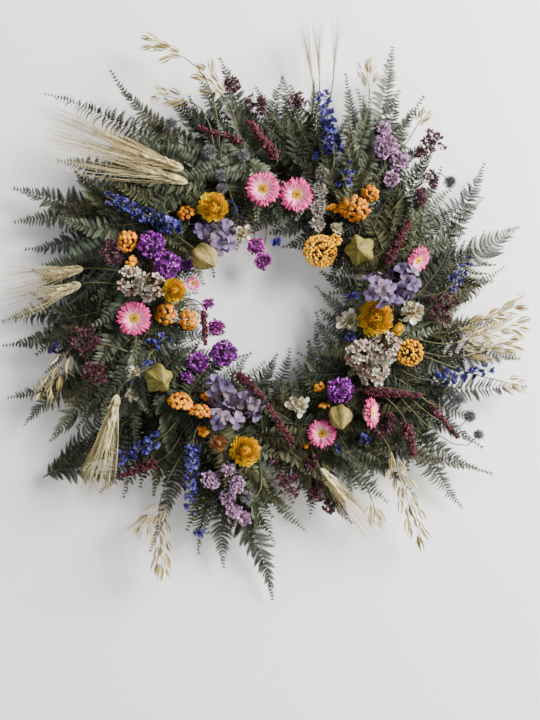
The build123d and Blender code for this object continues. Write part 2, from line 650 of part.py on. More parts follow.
with BuildPart() as binding_wire:
    wire_gap = BINDING_WIRE_R + CONTACT_GAP
    loop_low = INNER_RING_R - FRAME_WIRE_R - wire_gap
    loop_high = RING_R + FRAME_WIRE_R + wire_gap
    loop_back = -FRAME_WIRE_R - wire_gap
    loop_front = PACK_FRONT + wire_gap
    for turn in range(BINDING_TURNS):
        angle = 360 * (turn + 0.5) / BINDING_TURNS
        along = Vector(cos(radians(angle)), 0, sin(radians(angle)))
        section = Plane(CENTRE, x_dir=along, z_dir=(sin(radians(angle)), 0, -cos(radians(angle))))
        with BuildSketch(section):
            with Locations((0.5 * (loop_low + loop_high), 0.5 * (loop_back + loop_front))):
                RectangleRounded(loop_high - loop_low + 2 * BINDING_WIRE_R,
                                 loop_front - loop_back + 2 * BINDING_WIRE_R,
                                 BINDING_BEND_R + BINDING_WIRE_R)
                RectangleRounded(loop_high - loop_low - 2 * BINDING_WIRE_R,
                                 loop_front - loop_back - 2 * BINDING_WIRE_R,
                                 BINDING_BEND_R - BINDING_WIRE_R, mode=Mode.SUBTRACT)
        extrude(amount=BINDING_WIRE_R, both=True)

# ---------------------------------------------------------------- plants
placed_fronds = stack(fronds_of_wreath())
frond_stalks = []
for frond, number in placed_fronds:
    note_blade(frond, level_of(number))
for frond, number in placed_fronds:
    depth = layer_depth(level_of(number), hypot(*frond.base)) + 0.5 * BLADE_THICKNESS
    frond_stalks.append(Stalk(spot(*frond.base, ROOT_DEPTH - STALK_R), spot(*frond.base, depth)))
stalks.extend(frond_stalks)

flower_groups = {}
for name, (outline, places) in ROUND_HEADS.items():
    flower_groups[name] = [head(outline, *place) for place in places]
for name, places in LONG_HEADS.items():
    flower_groups[name] = [spike(*place) for place in places]

layer_count = 1 + max(number for _, number in placed_fronds)
shells = [layer_shell(level_of(number)) for number in range(layer_count)]
fern_groups = {hour: [] for hour in range(1, POSY_COUNT + 1)}
for (frond, number), stalk in zip(placed_fronds, frond_stalks):
    middle = midrib(frond)[MIDRIB_STEPS // 2]
    solid = fern_frond(frond, level_of(number), stalk, shells[number])
    fern_groups[clock_hour(middle[0], middle[1])].append(solid)

# ---------------------------------------------------------------- export
wire_parts = {
    "outer_frame_ring": outer_frame_ring,
    "inner_frame_ring": inner_frame_ring,
    "frame_cross_bars": frame_cross_bars,
    "binding_wire": binding_wire,
    "hanging_loop": hanging_loop,
}
for name, wire_part in wire_parts.items():
    wire_part.part.label = name
    export_step(wire_part.part, f"parts/{name}.step")

for hour in range(1, POSY_COUNT + 1):
    posy = posy_stems(hour)
    posy.label = f"posy_stems_{hour}_oclock"
    export_step(posy, f"parts/{posy.label}.step")

for hour, solids in fern_groups.items():
    with BuildPart() as ferns:
        add(solids)
    ferns.part.label = f"ferns_{hour}_oclock"
    export_step(ferns.part, f"parts/{ferns.part.label}.step")

for name, solids in flower_groups.items():
    with BuildPart() as flowers:
        add(solids)
    flowers.part.label = name
    export_step(flowers.part, f"parts/{name}.step")
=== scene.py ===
"""The looks of a harvest door wreath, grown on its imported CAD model.

Every plant's place, direction and size is read from its CAD solid, so nothing here is
fitted by hand: a frond lies in its blade, a flower sits on its turned head.  Lengths are
metres, in the row's frame: +X right, +Z up, the wreath faces -Y.
"""

from math import cos, pi, radians, sin
from types import SimpleNamespace as Form

import bpy
import numpy as np
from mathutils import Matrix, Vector


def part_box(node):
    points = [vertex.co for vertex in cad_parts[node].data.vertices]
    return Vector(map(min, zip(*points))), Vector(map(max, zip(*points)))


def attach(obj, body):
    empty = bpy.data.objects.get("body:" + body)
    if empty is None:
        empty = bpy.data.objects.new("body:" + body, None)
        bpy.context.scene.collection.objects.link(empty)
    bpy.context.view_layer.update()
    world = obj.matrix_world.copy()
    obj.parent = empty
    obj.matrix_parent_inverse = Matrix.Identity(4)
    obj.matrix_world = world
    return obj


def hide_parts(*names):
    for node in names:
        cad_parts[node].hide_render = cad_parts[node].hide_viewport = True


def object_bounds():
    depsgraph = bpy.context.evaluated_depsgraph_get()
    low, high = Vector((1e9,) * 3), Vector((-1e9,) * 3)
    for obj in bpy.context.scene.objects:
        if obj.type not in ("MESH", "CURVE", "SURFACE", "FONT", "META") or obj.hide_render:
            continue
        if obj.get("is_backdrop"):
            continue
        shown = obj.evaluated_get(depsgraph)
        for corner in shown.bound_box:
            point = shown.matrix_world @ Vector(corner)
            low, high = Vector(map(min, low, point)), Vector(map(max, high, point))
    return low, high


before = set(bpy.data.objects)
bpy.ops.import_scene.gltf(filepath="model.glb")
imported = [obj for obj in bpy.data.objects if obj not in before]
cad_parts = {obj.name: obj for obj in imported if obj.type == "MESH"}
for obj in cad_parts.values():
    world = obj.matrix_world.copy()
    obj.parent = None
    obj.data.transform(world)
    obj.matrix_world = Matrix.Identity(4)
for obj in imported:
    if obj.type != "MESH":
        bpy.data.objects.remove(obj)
cad_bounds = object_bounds()

MM = 0.001
FRONT = np.array((0.0, -1.0, 0.0))
UP = np.array((0.0, 0.0, 1.0))

ring_low, ring_high = (np.array(corner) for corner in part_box("outer_frame_ring"))
CENTRE = np.array((0.5 * (ring_low[0] + ring_high[0]), 0.0, 0.5 * (ring_low[2] + ring_high[2])))
HOURS = range(1, 13)
PACK_FRONT = min(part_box(f"posy_stems_{hour}_oclock")[0].y for hour in HOURS)
PACK_IN = 112 * MM          # the bound stems lie between these radii
PACK_OUT = 147 * MM
PACK_DEPTH = 4.2 * MM       # a plant's root lies this near the front of the bound stems
DOME_CROWN = 130            # millimetres from the centre to where the face looks straight ahead
DOME_SLOPE = 0.26           # degrees that it tilts for each millimetre from there
DOME_TILTS = (-28, 36)


# ---------------------------------------------------------------- vectors
def unit(v):
    """Vectors of length one along the last axis."""
    v = np.asarray(v, float)
    return v / np.maximum(np.linalg.norm(v, axis=-1, keepdims=True), 1e-12)


def not_along(axis):
    """A direction well away from an axis."""
    return UP if abs(axis @ UP) < 0.9 else np.array((1.0, 0, 0))


def axes_along(forward, normal):
    """Frames whose columns are side, forward and normal; normal is squared to forward."""
    y = unit(forward)
    x = unit(np.cross(y, normal))
    z = np.cross(x, y)
    return np.stack((x, y, z), axis=-1)


def turned(frames, angle):
    """Frames turned about their own forward axis."""
    angle = np.asarray(angle)[..., None]
    x, y, z = frames[..., 0], frames[..., 1], frames[..., 2]
    return np.stack((x * np.cos(angle) + z * np.sin(angle), y,
                     z * np.cos(angle) - x * np.sin(angle)), axis=-1)


def face_normal(point):
    """Outward direction of the wreath's domed face near a point."""
    plan = np.asarray(point, float) - CENTRE
    plan[..., 1] = 0
    radius = np.linalg.norm(plan, axis=-1, keepdims=True)
    tilt = np.radians(np.clip(DOME_SLOPE * (radius / MM - DOME_CROWN), *DOME_TILTS))
    return unit(plan / np.maximum(radius, 1e-9) * np.sin(tilt) + FRONT * np.cos(tilt))


def colour(*srgb):
    """Linear colour from 8-bit screen values."""
    v = np.array(srgb, float) / 255
    return np.where(v <= 0.04045, v / 12.92, ((v + 0.055) / 1.055) ** 2.4)


def colours(*several):
    """Linear colours from several screen colours."""
    return np.array([colour(*one) for one in several])


def vary(rng, tint, count, light=0.15, hue=0.05):
    """A tint for each of several pieces, a little lighter or darker and warmer or cooler."""
    shade = 1 + light * rng.standard_normal((count, 1))
    return np.asarray(tint) * np.clip(shade, 0.4, 1.9) * (1 + hue * rng.standard_normal((count, 3)))


# ---------------------------------------------------------------- meshes
class Pile:
    """Many small pieces gathered into one mesh, with a tint for each point."""

    def __init__(self):
        self.points, self.tints, self.quads = [], [], []
        self.count = 0

    def add(self, points, quads, tints):
        """Adds one piece; tints is one colour or one for each point."""
        self.points.append(points)
        self.tints.append(np.broadcast_to(np.asarray(tints, float), points.shape))
        self.quads.append(quads + self.count)
        self.count += len(points)

    def scatter(self, shape, origins, frames, tints):
        """Adds a copy of a shape (points, quads, shading) at each origin and frame."""
        points, quads, shading = shape
        origins = np.asarray(origins, float).reshape(-1, 3)
        count = len(origins)
        placed = np.einsum("nij,kj->nki", frames, points) + origins[:, None, :]
        tints = np.broadcast_to(np.asarray(tints, float), (count, 3))
        colours = tints[:, None, :] * shading[None, :, :]
        steps = (np.arange(count) * len(points))[:, None, None]
        every_quad = (quads[None] + steps).reshape(-1, 4)
        self.add(placed.reshape(-1, 3), every_quad, colours.reshape(-1, 3))

    def tube(self, path, radii, tint, sides=5):
        """Adds a round stalk along a path, open at its ends."""
        path = np.asarray(path, float)
        run = unit(np.gradient(path, axis=0))
        side = unit(np.cross(run, not_along(run[0])))
        other = np.cross(run, side)
        radii = np.broadcast_to(np.asarray(radii, float), (len(path),))
        turn = (np.arange(sides) * 2 * pi / sides)[None, :, None]
        ring = side[:, None, :] * np.cos(turn) + other[:, None, :] * np.sin(turn)
        points = path[:, None, :] + ring * radii[:, None, None]
        first = np.arange(len(path) - 1)[:, None] * sides
        here = np.arange(sides)[None, :]
        after = (here + 1) % sides
        quads = np.stack((first + here, first + after, first + sides + after, first + sides + here), -1)
        self.add(points.reshape(-1, 3), quads.reshape(-1, 4), tint)

    def build(self, name, material, node):
        """Makes the object, hangs it on the wreath's body, and hides the CAD node that it stands for."""
        points, quads = np.concatenate(self.points), np.concatenate(self.quads)
        tints = np.clip(np.concatenate(self.tints), 0.002, 0.95)
        mesh = bpy.data.meshes.new(name)
        mesh.vertices.add(len(points))
        mesh.vertices.foreach_set("co", points.astype(np.float32).ravel())
        mesh.loops.add(quads.size)
        mesh.loops.foreach_set("vertex_index", quads.astype(np.int32).ravel())
        mesh.polygons.add(len(quads))
        mesh.polygons.foreach_set("loop_start", np.arange(0, quads.size, 4, dtype=np.int32))
        mesh.polygons.foreach_set("use_smooth", np.ones(len(quads), bool))
        layer = mesh.color_attributes.new("Tint", "FLOAT_COLOR", "POINT")
        rgba = np.concatenate((tints, np.ones((len(tints), 1))), axis=1)
        layer.data.foreach_set("color", rgba.astype(np.float32).ravel())
        mesh.update(calc_edges=True)
        mesh.materials.append(material)
        piece = bpy.data.objects.new(name, mesh)
        bpy.context.scene.collection.objects.link(piece)
        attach(piece, "wreath")
        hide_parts(node)


def strip(widths, trough, heights):
    """A leaf-like strip of unit length along +Y, from half widths and heights at even steps.

    trough raises its edges above its centre line.
    """
    widths = np.asarray(widths, float)
    count = len(widths)
    points = np.zeros((count, 3, 3))
    for column, side in enumerate((-1, 0, 1)):
        points[:, column, 0] = side * widths
        points[:, column, 1] = np.linspace(0, 1, count)
        points[:, column, 2] = np.asarray(heights) + trough * widths * abs(side)
    rows = np.arange(count - 1)[:, None] * 3
    quads = [np.concatenate((rows + c, rows + c + 1, rows + c + 4, rows + c + 3), axis=1) for c in (0, 1)]
    return points.reshape(-1, 3), np.concatenate(quads), np.ones((3 * count, 3))


def shaded(shape, base, tip, power=1.0):
    """The shape with its shading running from base to tip along +Y: painted shade towards the base and
    painted light towards the tip, or the daisy ray's own white-to-pink colour.
    """
    points, quads, _ = shape
    t = np.clip(points[:, 1:2] / points[:, 1].max(), 0, 1) ** power
    return points, quads, (np.asarray(base) * (1 - t) + np.asarray(tip) * t) * np.ones(3)


def scaled(frames, sizes):
    """Frames made larger; sizes is one number a frame, or three."""
    sizes = np.asarray(sizes, float)
    return frames * (sizes[..., None, None] if sizes.ndim == 1 else sizes[..., None, :])


def turned_shape(profile, sides, wave=None):
    """Closed solid of revolution about +Y from (radius, height) pairs; wave scales by angle."""
    profile = np.asarray(profile, float)
    turn = np.arange(sides) * 2 * pi / sides
    swell = np.ones(sides) if wave is None else wave(turn)
    points = np.stack((np.outer(profile[:, 0], np.cos(turn) * swell),
                       np.repeat(profile[:, 1:2], sides, axis=1),
                       np.outer(profile[:, 0], np.sin(turn) * swell)), -1).reshape(-1, 3)
    first = np.arange(len(profile) - 1)[:, None] * sides
    here = np.arange(sides)[None, :]
    after = (here + 1) % sides
    quads = np.stack((first + here, first + sides + here, first + sides + after, first + after), -1)
    return points, quads.reshape(-1, 4), np.ones((len(points), 3))


# ---------------------------------------------------------------- reading the CAD solids
def cad_solids(node):
    """Corner points of each separate solid of a CAD node, in mesh order."""
    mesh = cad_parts[node].data
    points = np.zeros(len(mesh.vertices) * 3)
    mesh.vertices.foreach_get("co", points)
    points = points.reshape(-1, 3)
    edges = np.zeros(len(mesh.edges) * 2, int)
    mesh.edges.foreach_get("vertices", edges)
    edges = edges.reshape(-1, 2)
    _, same = np.unique(np.round(points / 2e-6).astype(np.int64), axis=0, return_inverse=True)
    same = same.reshape(-1)
    edges = same[edges]
    label = np.arange(same.max() + 1)
    while True:
        low = np.minimum(label[edges[:, 0]], label[edges[:, 1]])
        new = label.copy()
        np.minimum.at(new, edges[:, 0], low)
        np.minimum.at(new, edges[:, 1], low)
        new = new[new]
        if (new == label).all():
            break
        label = new
    owner = label[same]
    kinds, first = np.unique(owner, return_index=True)
    return [points[owner == kind] for kind in kinds[np.argsort(first)]]


def split_root(points):
    """A plant's root on the bound stems, and the rest of its points."""
    plan = np.hypot(points[:, 0] - CENTRE[0], points[:, 2] - CENTRE[2])
    low = (points[:, 1] > PACK_FRONT - PACK_DEPTH) & (plan > PACK_IN) & (plan < PACK_OUT)
    if not low.any():
        low = points[:, 1] >= points[:, 1].max() - 1e-6
    return points[low].mean(0), points[~low]


def frond_from(points):
    """Base, tip, half width, bow and middle of a frond's blade."""
    root, blade = split_root(points)
    tip = blade[np.argmax(np.linalg.norm(blade - root, axis=1))]
    base = blade[np.argmax(np.linalg.norm(blade - tip, axis=1))]
    chord = tip - base
    length = np.linalg.norm(chord)
    side = unit(np.cross(chord, FRONT))
    along = (blade - base) @ chord / length ** 2
    across = (blade - base) @ side
    left, right = across.max(), across.min()
    near = np.abs(along - 0.5) < 0.16
    sag = (blade[near] - base - along[near, None] * chord)[:, 1].mean() if near.any() else 0.0
    return Form(root=root, base=base, tip=tip, half=0.5 * (left - right),
                bow=0.5 * (left + right), side=side, sag=sag)


def head_from(points, slender=False):
    """Root, ends along the axis, radius and axis of a turned head."""
    root, body = split_root(points)
    middle = body.mean(0)
    _, vectors = np.linalg.eigh(np.cov((body - middle).T))
    axis = vectors[:, 2] if slender else vectors[:, 0]
    if axis[1] > 0:
        axis = -axis
    along = (body - middle) @ axis
    across = np.linalg.norm(body - middle - along[:, None] * axis, axis=1)
    low, high = middle + axis * along.min(), middle + axis * along.max()
    return Form(root=root, low=low, high=high, radius=across.max(), axis=axis, body=body)


def spike_from(points):
    """A slender head from the end that its stalk carries, with its radius and ear length."""
    head = head_from(points, slender=True)
    start, end = head.low, head.high
    if np.linalg.norm(end - head.root) < np.linalg.norm(start - head.root):
        start, end = end, start
    axis = unit(end - start)
    along = (head.body - start) @ axis
    across = np.linalg.norm(head.body - start - along[:, None] * axis, axis=1)
    return Form(root=head.root, start=start, end=end, axis=axis, radius=across.max(),
                widest=along[np.argmax(across)])


# ---------------------------------------------------------------- materials
def new_material(name):
    """A material with its nodes, links and shader, and the coordinates that its textures use."""
    material = bpy.data.materials.new(name)
    material.use_nodes = True
    nodes, links = material.node_tree.nodes, material.node_tree.links
    place = nodes.new("ShaderNodeTexCoord").outputs["Object"]
    return material, nodes, links, nodes["Principled BSDF"], place


def new_node(nodes, kind, **inputs):
    """A shader node with some of its inputs set."""
    node = nodes.new("ShaderNode" + kind)
    for name, value in inputs.items():
        node.inputs[name.replace("_", " ")].default_value = value
    return node


def between(nodes, links, noise, low, high):
    """Colour that wanders between two as a noise does."""
    mix = nodes.new("ShaderNodeMix")
    mix.data_type = "RGBA"
    mix.inputs["A"].default_value = (*low, 1)
    mix.inputs["B"].default_value = (*high, 1)
    links.new(noise.outputs["Fac"], mix.inputs["Factor"])
    return mix.outputs["Result"]


def wandering_gloss(nodes, links, shader, noise, low, high):
    """Roughness that wanders between two values as a noise does."""
    gloss = new_node(nodes, "MapRange", To_Min=low, To_Max=high)
    links.new(noise.outputs["Fac"], gloss.inputs["Value"])
    links.new(gloss.outputs["Result"], shader.inputs["Roughness"])


def relief(nodes, links, shader, noise, strength, height):
    """Small bumps as high as a noise says."""
    bumps = new_node(nodes, "Bump", Strength=strength, Distance=height)
    links.new(noise.outputs["Fac"], bumps.inputs["Height"])
    links.new(bumps.outputs["Normal"], shader.inputs["Normal"])


def plant_material(name, mottle=0.35, patch=90.0, grain=1400.0, roughness=0.8, bump=0.25, depth=0.8):
    """Dry plant matter: the pieces' own tints, mottled, with fine grain in bump and gloss.

    depth darkens every tint alike.
    """
    material, nodes, links, shader, place = new_material(name)
    tint = nodes.new("ShaderNodeVertexColor")
    tint.layer_name = "Tint"
    patches = new_node(nodes, "TexNoise", Scale=patch, Detail=4)
    fine = new_node(nodes, "TexNoise", Scale=grain, Detail=3)
    links.new(place, patches.inputs["Vector"])
    links.new(place, fine.inputs["Vector"])
    level = new_node(nodes, "MapRange", From_Min=0.3, From_Max=0.7,
                     To_Min=depth * (1 - mottle), To_Max=depth * (1 + 0.6 * mottle))
    links.new(patches.outputs["Fac"], level.inputs["Value"])
    speck = new_node(nodes, "MapRange", From_Min=0.3, From_Max=0.7,
                     To_Min=1 - 0.5 * mottle, To_Max=1 + 0.4 * mottle)
    links.new(fine.outputs["Fac"], speck.inputs["Value"])
    both = nodes.new("ShaderNodeMath")
    both.operation = "MULTIPLY"
    links.new(level.outputs["Result"], both.inputs[0])
    links.new(speck.outputs["Result"], both.inputs[1])
    mixed = nodes.new("ShaderNodeVectorMath")
    mixed.operation = "SCALE"
    links.new(tint.outputs["Color"], mixed.inputs[0])
    links.new(both.outputs["Value"], mixed.inputs["Scale"])
    links.new(mixed.outputs["Vector"], shader.inputs["Base Color"])
    wandering_gloss(nodes, links, shader, fine, roughness - 0.12, min(roughness + 0.14, 1.0))
    relief(nodes, links, shader, fine, bump, 0.3 * MM)
    shader.inputs["Specular IOR Level"].default_value = 0.3
    return material


# ---------------------------------------------------------------- ferns
FERN_TINTS = colours((64, 72, 50), (90, 98, 70), (128, 138, 112), (80, 82, 46), (108, 110, 72),
                     (52, 60, 46), (150, 158, 134))
RACHIS_TINT = colour(138, 132, 92)
LOWEST_FROND = 17 * MM      # fronds that start this near the wall get the deepest painted shade
CLEAR_OF_STEMS = -9 * MM    # side sprigs end in front of this
WIDE_BLADE = 1.12           # leaflets reach a little past the CAD blade
WIDEST = 0.28               # share of its length where a frond is widest
TAPER = 0.73                # share of its length over which it narrows to its tip
LEAST_PINNA = 3.4 * MM
PINNA_GAP = 0.29            # leaflets stand this share of their own length apart


def lobed_pinna(lobes, curl):
    """One side leaflet of unit length: a midrib with small rounded lobes, curling under."""
    step = 1 / lobes
    edges = np.arange(lobes + 1) * step
    points = [(0, t, 0) for t in edges]
    quads = []
    for hand in (-1, 1):
        for k in range(lobes):
            t = (k + 0.5) * step
            width = 0.18 * (1 - t ** 2.4) + 0.02
            first = len(points)
            for out, back, ahead in ((0.6, 0.40, 0.36), (1.0, 0.06, 0.34)):
                y = t + 0.55 * out * width
                across = hand * out * width
                points += [(across, y - back * step, 0), (across, y + ahead * step, 0)]
            ring = [(k, k + 1, first + 1, first), (first, first + 1, first + 3, first + 2)]
            quads += ring if hand > 0 else [q[::-1] for q in ring]
    points = np.array(points, float)
    x, t = points[:, 0], points[:, 1]
    points[:, 2] = curl * (0.35 * t - 1.0 * t ** 2.4) - 2.6 * x ** 2 + 0.03 * np.sin(2 * pi * lobes * t)
    points[:, 0] += 0.10 * t ** 2
    # Painted shade: each leaflet is darkened near the rachis, where leaflets crowd, and painted lighter at
    # its tip.
    return shaded((points, np.array(quads)[:, ::-1], None), 0.5, 1.2, 0.7)


PINNAE = [lobed_pinna(8, 0.15), lobed_pinna(9, 0.4), lobed_pinna(7, 0.7), lobed_pinna(10, -0.2),
          lobed_pinna(8, 0.9)]


def grow_frond(pile, frond, rng, tint):
    """A bracken frond in its blade: a rachis with pairs of lobed leaflets."""
    base, tip, side = frond.base, frond.tip, frond.side
    length = np.linalg.norm(tip - base)
    normal = face_normal(0.5 * (base + tip))
    steps = 26
    t = np.linspace(0, 1, steps)[:, None]
    swell = 4 * t * (1 - t)
    rise = rng.uniform(-1.5, 6.0) * MM
    hook = rng.uniform(-0.12, 0.15) * length
    path = base + (tip - base) * t + side * (frond.bow * swell + hook * (t - 0.5) * t * (1 - t) * 4)
    path[:, 1:2] += frond.sag * swell
    path += normal * (rise * t ** 2 + rng.uniform(0, 2) * MM * swell)
    way_in = np.linspace(0, 1, 5)[:-1, None]
    foot = frond.root + (path[0] - frond.root) * way_in
    whole = np.concatenate((foot, path))
    pile.tube(whole, np.linspace(0.9, 0.2, len(whole)) * MM, RACHIS_TINT * rng.uniform(0.6, 1.0), 4)

    half = WIDE_BLADE * frond.half
    places, reaches = [], []
    s = rng.uniform(0.05, 0.10)
    while s < 0.985:
        reach = half * min((s / WIDEST) ** 0.5, 1.0) * (1 - (max(s - WIDEST, 0) / TAPER) ** 1.5)
        reach = max(reach, LEAST_PINNA)
        places.append(s)
        reaches.append(reach)
        s += max(PINNA_GAP * reach, LEAST_PINNA) / length
    places, reaches = np.array(places), np.array(reaches)
    at = places * (steps - 1)
    low = np.minimum(at.astype(int), steps - 2)
    origin = path[low] + (path[low + 1] - path[low]) * (at - low)[:, None]
    run = unit(path[low + 1] - path[low])
    flip = rng.random() < 0.3
    pinna = PINNAE[rng.integers(len(PINNAE))]
    trough = rng.uniform(-0.35, 0.45)
    splay = radians(rng.uniform(60, 82))
    fold = rng.uniform(-0.6, 0.6)
    for hand in (-1, 1):
        aside = unit(np.cross(run, normal)) * hand
        count = len(origin)
        lean = splay - 0.55 * places ** 2 + 0.10 * rng.standard_normal(count)
        forward = run * np.cos(lean)[:, None] + aside * np.sin(lean)[:, None]
        forward = forward + normal * (trough + 0.15 * rng.standard_normal(count))[:, None]
        frames = axes_along(forward, normal * (-1 if flip else 1))
        frames = turned(frames, hand * fold + 0.28 * rng.standard_normal(count))
        if hand < 0:
            frames = frames * np.array((-1, 1, 1))[None, None, :]
        size = reaches * rng.uniform(0.84, 1.08, count)
        widen = np.where(size < 7 * MM, 1.5, 1.0)
        frames = scaled(frames, np.stack((size * widen, size, size), -1))
        shades = vary(rng, tint * (1.3 if flip else 1.0), count, 0.12, 0.04)
        pile.scatter(pinna, origin, frames, shades)


def sprigs_beside(frond, rng):
    """Shorter fronds of the same sprig, spread to either side of a frond and before it."""
    run = frond.tip - frond.base
    length = np.linalg.norm(run)
    for hand in (-1, 1):
        share = rng.uniform(0.50, 0.80)
        turn = hand * rng.uniform(0.22, 0.55)
        way = run / length * cos(turn) + frond.side * sin(turn)
        base = frond.base + run * rng.uniform(0.0, 0.10) + FRONT * rng.uniform(1.0, 4.5) * MM
        tip = base + way * length * share + FRONT * rng.uniform(-1, 4) * MM
        tip[1] = min(tip[1], CLEAR_OF_STEMS)
        yield Form(root=frond.root, base=base, tip=tip, half=frond.half * rng.uniform(0.62, 0.85),
                   bow=0.25 * frond.bow - hand * 0.05 * length, side=frond.side, sag=frond.sag)


def grow_ferns():
    """One piece of bracken for each hour's CAD node."""
    leaf = plant_material("dry_bracken", mottle=0.45, patch=70.0, roughness=0.82, depth=0.42)
    for hour in HOURS:
        node = f"ferns_{hour}_oclock"
        rng = np.random.default_rng(100 + hour)
        pile = Pile()
        for solid in cad_solids(node):
            frond = frond_from(solid)
            # Painted shade: fronds lying deeper, nearer the wall, are darkened as if shaded by the fronds in
            # front.
            forward = np.clip((-frond.base[1] - LOWEST_FROND) / (20 * MM), 0, 1)
            tint = FERN_TINTS[rng.integers(len(FERN_TINTS))] * (0.6 + 0.6 * forward)
            grow_frond(pile, frond, rng, tint)
            for sprig in sprigs_beside(frond, rng):
                grow_frond(pile, sprig, rng, tint * rng.uniform(0.85, 1.2))
        pile.build(f"bracken_{hour}_oclock", leaf, node)


grow_ferns()


# ---------------------------------------------------------------- small shapes
def basis(axis):
    """Two directions square to an axis."""
    u = unit(np.cross(axis, not_along(axis)))
    return u, np.cross(axis, u)


GOLDEN_ANGLE = radians(137.508)


def spiral(count):
    """Turn angles and even shares of the area, in a sunflower's order from the middle out."""
    order = np.arange(count) + 0.5
    return order * GOLDEN_ANGLE, order / count


def blend(first, second, share):
    """Colours between two, one for each share."""
    share = np.asarray(share)[:, None]
    return np.asarray(first) * (1 - share) + np.asarray(second) * share


BEAD = turned_shape([(0.05, -1), (0.75, -0.65), (1, 0), (0.75, 0.65), (0.05, 1)], 7)
# Painted shade and light: BRACT, PETAL, CRUMPLED, SCALE, SPINE, GLUME and BUTTON are darker at the base,
# where they crowd into a head, and lighter at the tip; RAY's white to pink is its own colour.
BRACT = shaded(strip([0.2, 0.34, 0.42, 0.42, 0.32, 0.08], 0.7, [0, 0.02, 0.05, 0.12, 0.24, 0.38]),
               0.62, 1.15)
RAY = shaded(strip([0.04, 0.065, 0.08, 0.075, 0.02], 0.8, [0, 0.03, 0.04, 0.03, 0.0]),
             colour(252, 214, 232), colour(226, 42, 134), 0.7)
PETAL = shaded(strip([0.1, 0.3, 0.44, 0.48, 0.38, 0.12], 0.25, [0, 0.1, 0.15, 0.14, 0.08, -0.02]), 0.75, 1.1)
CRUMPLED = shaded(strip([0.12, 0.28, 0.36, 0.3, 0.34, 0.12], 0.9, [0, 0.16, 0.12, 0.26, 0.14, 0.3]),
                  0.7, 1.2)
SCALE = shaded(strip([0.1, 0.3, 0.26, 0.04], 0.8, [0, 0.08, 0.12, 0.1]), 0.7, 1.25)
SPINE = shaded(strip([0.07, 0.05, 0.008], 0.8, [0, 0, 0]), 0.6, 1.3)
BUTTON = shaded(turned_shape([(0.04, 0.42), (0.2, 0.5), (0.42, 0.6), (0.78, 0.48), (1.0, 0.1),
                              (0.92, -0.3), (0.3, -0.6)], 12), 0.95, 1.0)
GLUME = shaded(strip([0.03, 0.085, 0.11, 0.09, 0.05, 0.008], 1.1, [0, 0.03, 0.05, 0.05, 0.02, 0.0]),
               0.75, 1.15)
CUP = turned_shape([(0.1, -0.42), (0.3, -0.378), (0.5, -0.3), (0.42, -0.05), (0.05, 0.05)], 14)
# Painted shade: a dark core inside each statice head, seen in the gaps between its florets.
SHADE_CORE = turned_shape([(0.1, -0.55), (0.5, -0.42), (0.7, -0.1), (0.66, 0.16), (0.4, 0.36), (0.02, 0.42)], 14)
BALL = turned_shape([(0.05, -0.62), (0.4, -0.48), (0.62, 0), (0.4, 0.48), (0.05, 0.62)], 10)
STALK_TINT = colour(98, 96, 60)


def whorl(pile, shape, head, turns, radii, heights, rises, sizes, tints, roll=0.0):
    """Petals about a head's axis: each starts at its radius and height, rising from the plane."""
    u, v = basis(head.axis)
    out = np.cos(turns)[:, None] * u + np.sin(turns)[:, None] * v
    radii, heights, rises = (np.broadcast_to(one, turns.shape)[:, None] for one in (radii, heights, rises))
    forward = out * np.cos(rises) + head.axis * np.sin(rises)
    normal = head.axis * np.cos(rises) - out * np.sin(rises)
    frames = turned(axes_along(forward, normal), np.broadcast_to(roll, turns.shape))
    start = head.centre + out * radii + head.axis * heights
    pile.scatter(shape, start, scaled(frames, sizes), tints)


def over_dome(head, count, rng, deepest=-0.15, flat=0.62, jitter=0.06):
    """Places spread over a head's front, with the directions they look in."""
    turns, share = spiral(count)
    up = 1 - share * (1 - deepest)
    ring = np.sqrt(np.maximum(1 - up ** 2, 0))
    u, v = basis(head.axis)
    way = ring[:, None] * (np.cos(turns)[:, None] * u + np.sin(turns)[:, None] * v)
    way = unit(way + up[:, None] * head.axis + jitter * rng.standard_normal((count, 3)))
    rise = way @ head.axis
    place = head.centre + head.radius * (way - (1 - flat) * rise[:, None] * head.axis)
    return place, way


def facing(ways, rng):
    """Frames that look along the given ways, turned at random."""
    count = len(ways)
    side = unit(np.cross(ways, rng.standard_normal((count, 3))))
    return axes_along(ways, side)


def stalk(pile, head, tint, radius=0.6 * MM):
    """A stalk from the bound stems to the back of a head."""
    t = np.linspace(0, 1, 9)[:, None]
    start, end = head.root, head.foot
    reach = 0.4 * np.linalg.norm(end - start)
    one, two = start + FRONT * reach, end - head.way * reach
    path = start * (1 - t) ** 3 + 3 * one * t * (1 - t) ** 2 + 3 * two * t ** 2 * (1 - t) + end * t ** 3
    pile.tube(path, radius, tint, 6)


def bead(pile, spot, way, size, tint, rng):
    """One bead along a way; size is one number, or three."""
    pile.scatter(BEAD, [spot], scaled(facing(way[None], rng), np.asarray(size)[None]), tint)


def head_frames(head):
    """A head's own frame, in a list of one."""
    return axes_along(head.axis[None], basis(head.axis)[0][None])


def on_head(pile, shape, head, tint):
    """One shape about a head's axis, as large as the head."""
    pile.scatter(shape, [head.centre], scaled(head_frames(head), np.array([head.radius])), tint)


# How far a head's front lies from its centre, in radii, by its kind
HEAD_FRONT = {"disc": 0.42, "dome": 0.68, "lantern": 1.25, "ball": 1.0}


def round_heads(node, kind, spread):
    """Heads of a node with the centre and size of each; spread enlarges them."""
    heads = []
    for solid in cad_solids(node):
        head = head_from(solid, slender=node == "lantern_pods")
        radius = head.radius
        head.centre = head.high - head.axis * (HEAD_FRONT[kind] * radius)
        head.foot, head.way = head.centre - head.axis * 0.3 * radius, head.axis
        head.radius = spread * radius
        heads.append(head)
    return heads


def grow(node, kind, finish, maker, seed, spread=1.2, **look):
    """One piece of dried plant for all heads of a CAD node."""
    rng = np.random.default_rng(seed)
    pile = Pile()
    for head in round_heads(node, kind, spread):
        stalk(pile, head, STALK_TINT * rng.uniform(0.6, 1.1))
        maker(pile, head, rng)
    pile.build("dried_" + node, plant_material("dry_" + node, **look), node)


